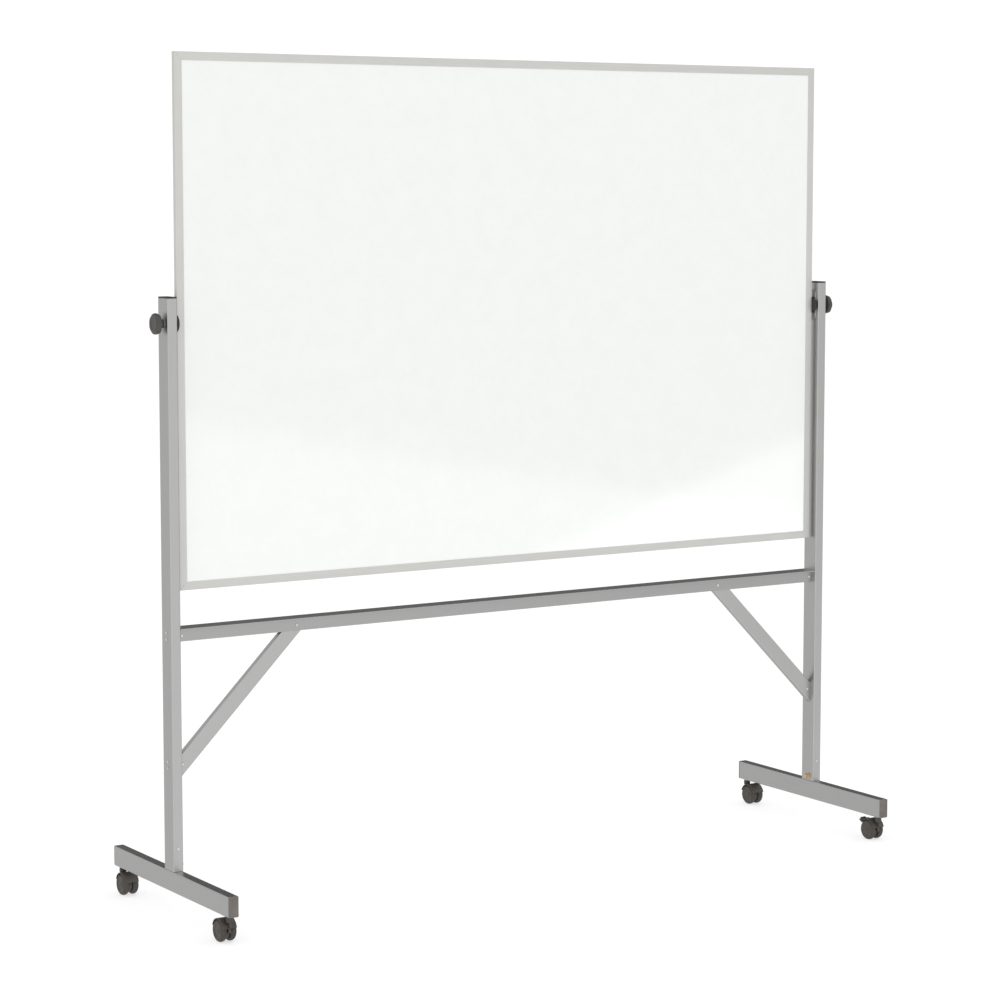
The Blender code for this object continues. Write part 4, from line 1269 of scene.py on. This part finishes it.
def world_node(tree, kind, **values):
    """A node of the world shader, with its sockets set by name."""
    node = tree.nodes.new(kind)
    for key, value in values.items():
        node.inputs[key.replace("_", " ")].default_value = value
    return node


def world_range(tree, source, start, stop, low, high):
    """A value eased from low to high as the source goes from start to stop."""
    node = world_node(
        tree, "ShaderNodeMapRange", From_Min=start, From_Max=stop, To_Min=low, To_Max=high
    )
    node.interpolation_type = "SMOOTHSTEP"
    tree.links.new(source, node.inputs["Value"])
    return node.outputs["Result"]


def world_math(tree, operation, first, second):
    node = tree.nodes.new("ShaderNodeMath")
    node.operation = operation
    tree.links.new(first, node.inputs[0])
    tree.links.new(second, node.inputs[1])
    return node.outputs[0]


def reflected_room(tree):
    """What shiny pieces mirror: a bright front, a greyer back, and a dark corner behind."""
    coordinates = tree.nodes.new("ShaderNodeTexCoord")
    direction = coordinates.outputs["Generated"]
    split = tree.nodes.new("ShaderNodeSeparateXYZ")
    tree.links.new(direction, split.inputs[0])
    corner = tree.nodes.new("ShaderNodeVectorMath")
    corner.operation = "DOT_PRODUCT"
    corner.inputs[1].default_value = DARK_CORNER
    tree.links.new(direction, corner.inputs[0])
    front_back = world_range(tree, split.outputs["Y"], -0.5, 0.2, ROOM_FRONT, ROOM_BACK)
    sideways = world_range(tree, split.outputs["X"], 0.35, 0.8, 1.0, ROOM_RIGHT)
    gloom = world_range(tree, corner.outputs["Value"], *CORNER_EDGE, 1.0, ROOM_DARK)
    floor_light = world_range(tree, split.outputs["Z"], -0.12, 0.04, ROOM_FLOOR, 1.0)
    lit = world_math(tree, "MULTIPLY", front_back, sideways)
    lit = world_math(tree, "MULTIPLY", lit, floor_light)
    return world_math(tree, "MULTIPLY", lit, gloom)


def make_world():
    """White to the eye, even for soft light, and the reflected room for shiny pieces."""
    world = bpy.data.worlds.new("studio")
    bpy.context.scene.world = world
    world.use_nodes = True
    tree = world.node_tree
    tree.nodes.clear()
    glossy = tree.nodes.new("ShaderNodeBackground")
    tree.links.new(reflected_room(tree), glossy.inputs["Color"])
    soft = world_node(tree, "ShaderNodeBackground", Color=(1, 1, 1, 1), Strength=SOFT_LIGHT)
    eye = world_node(tree, "ShaderNodeBackground", Color=(1, 1, 1, 1), Strength=EYE_LIGHT)
    path = tree.nodes.new("ShaderNodeLightPath")
    below = soft.outputs[0]
    for ray, shader in (("Is Glossy Ray", glossy), ("Is Camera Ray", eye)):
        mix = tree.nodes.new("ShaderNodeMixShader")
        tree.links.new(path.outputs[ray], mix.inputs["Fac"])
        tree.links.new(below, mix.inputs[1])
        tree.links.new(shader.outputs[0], mix.inputs[2])
        below = mix.outputs[0]
    output = tree.nodes.new("ShaderNodeOutputWorld")
    tree.links.new(below, output.inputs["Surface"])


def area_light(name, place, wide, long, glow, spin=0.0, down=False):
    """A rectangular light of a given radiance, facing up or down."""
    data = bpy.data.lights.new(name, "AREA")
    data.shape = "RECTANGLE"
    data.size = wide
    data.size_y = long
    data.energy = glow * math.pi * wide * long
    light = bpy.data.objects.new(name, data)
    light.location = place
    tilt = 0 if down else math.pi
    light.rotation_euler = (tilt, 0, spin)
    light.visible_camera = False
    bpy.context.scene.collection.objects.link(light)
    return light


def make_lights():
    """A soft overhead, and two low bounce cards that only the gloss of the board mirrors."""
    overhead = area_light("overhead", OVERHEAD_PLACE, *OVERHEAD_SIZE, OVERHEAD_GLOW, down=True)
    overhead.visible_glossy = False
    sheets = bpy.data.collections.new("sheets")
    for end in ENDS:
        sheets.objects.link(bpy.data.objects[f"{end}_writing_sheet_skin"])
    edge = CARD_CORNERS[1] - CARD_CORNERS[0]
    spin = math.atan2(edge.y, edge.x)
    centre = (CARD_CORNERS[0] + CARD_CORNERS[1]) / 2
    centre += Vector((-edge.y, edge.x, 0)).normalized() * RIGHT_CARD_WIDE / 2
    longer = edge.length * RIGHT_CARD_LONGER
    cards = (
        area_light("left_card", LEFT_CARD_PLACE, *LEFT_CARD_SIZE, LEFT_CARD_GLOW),
        area_light("right_card", centre, longer, RIGHT_CARD_WIDE, RIGHT_CARD_GLOW, spin),
    )
    for card in cards:
        card.visible_diffuse = False
        card.light_linking.receiver_collection = sheets


make_camera()
build_stand()
build_board()
build_clamps()
build_casters()
make_floor()
make_world()
make_lights()

bpy.context.scene.view_settings.view_transform = "Standard"
bpy.context.scene.view_settings.look = "None"
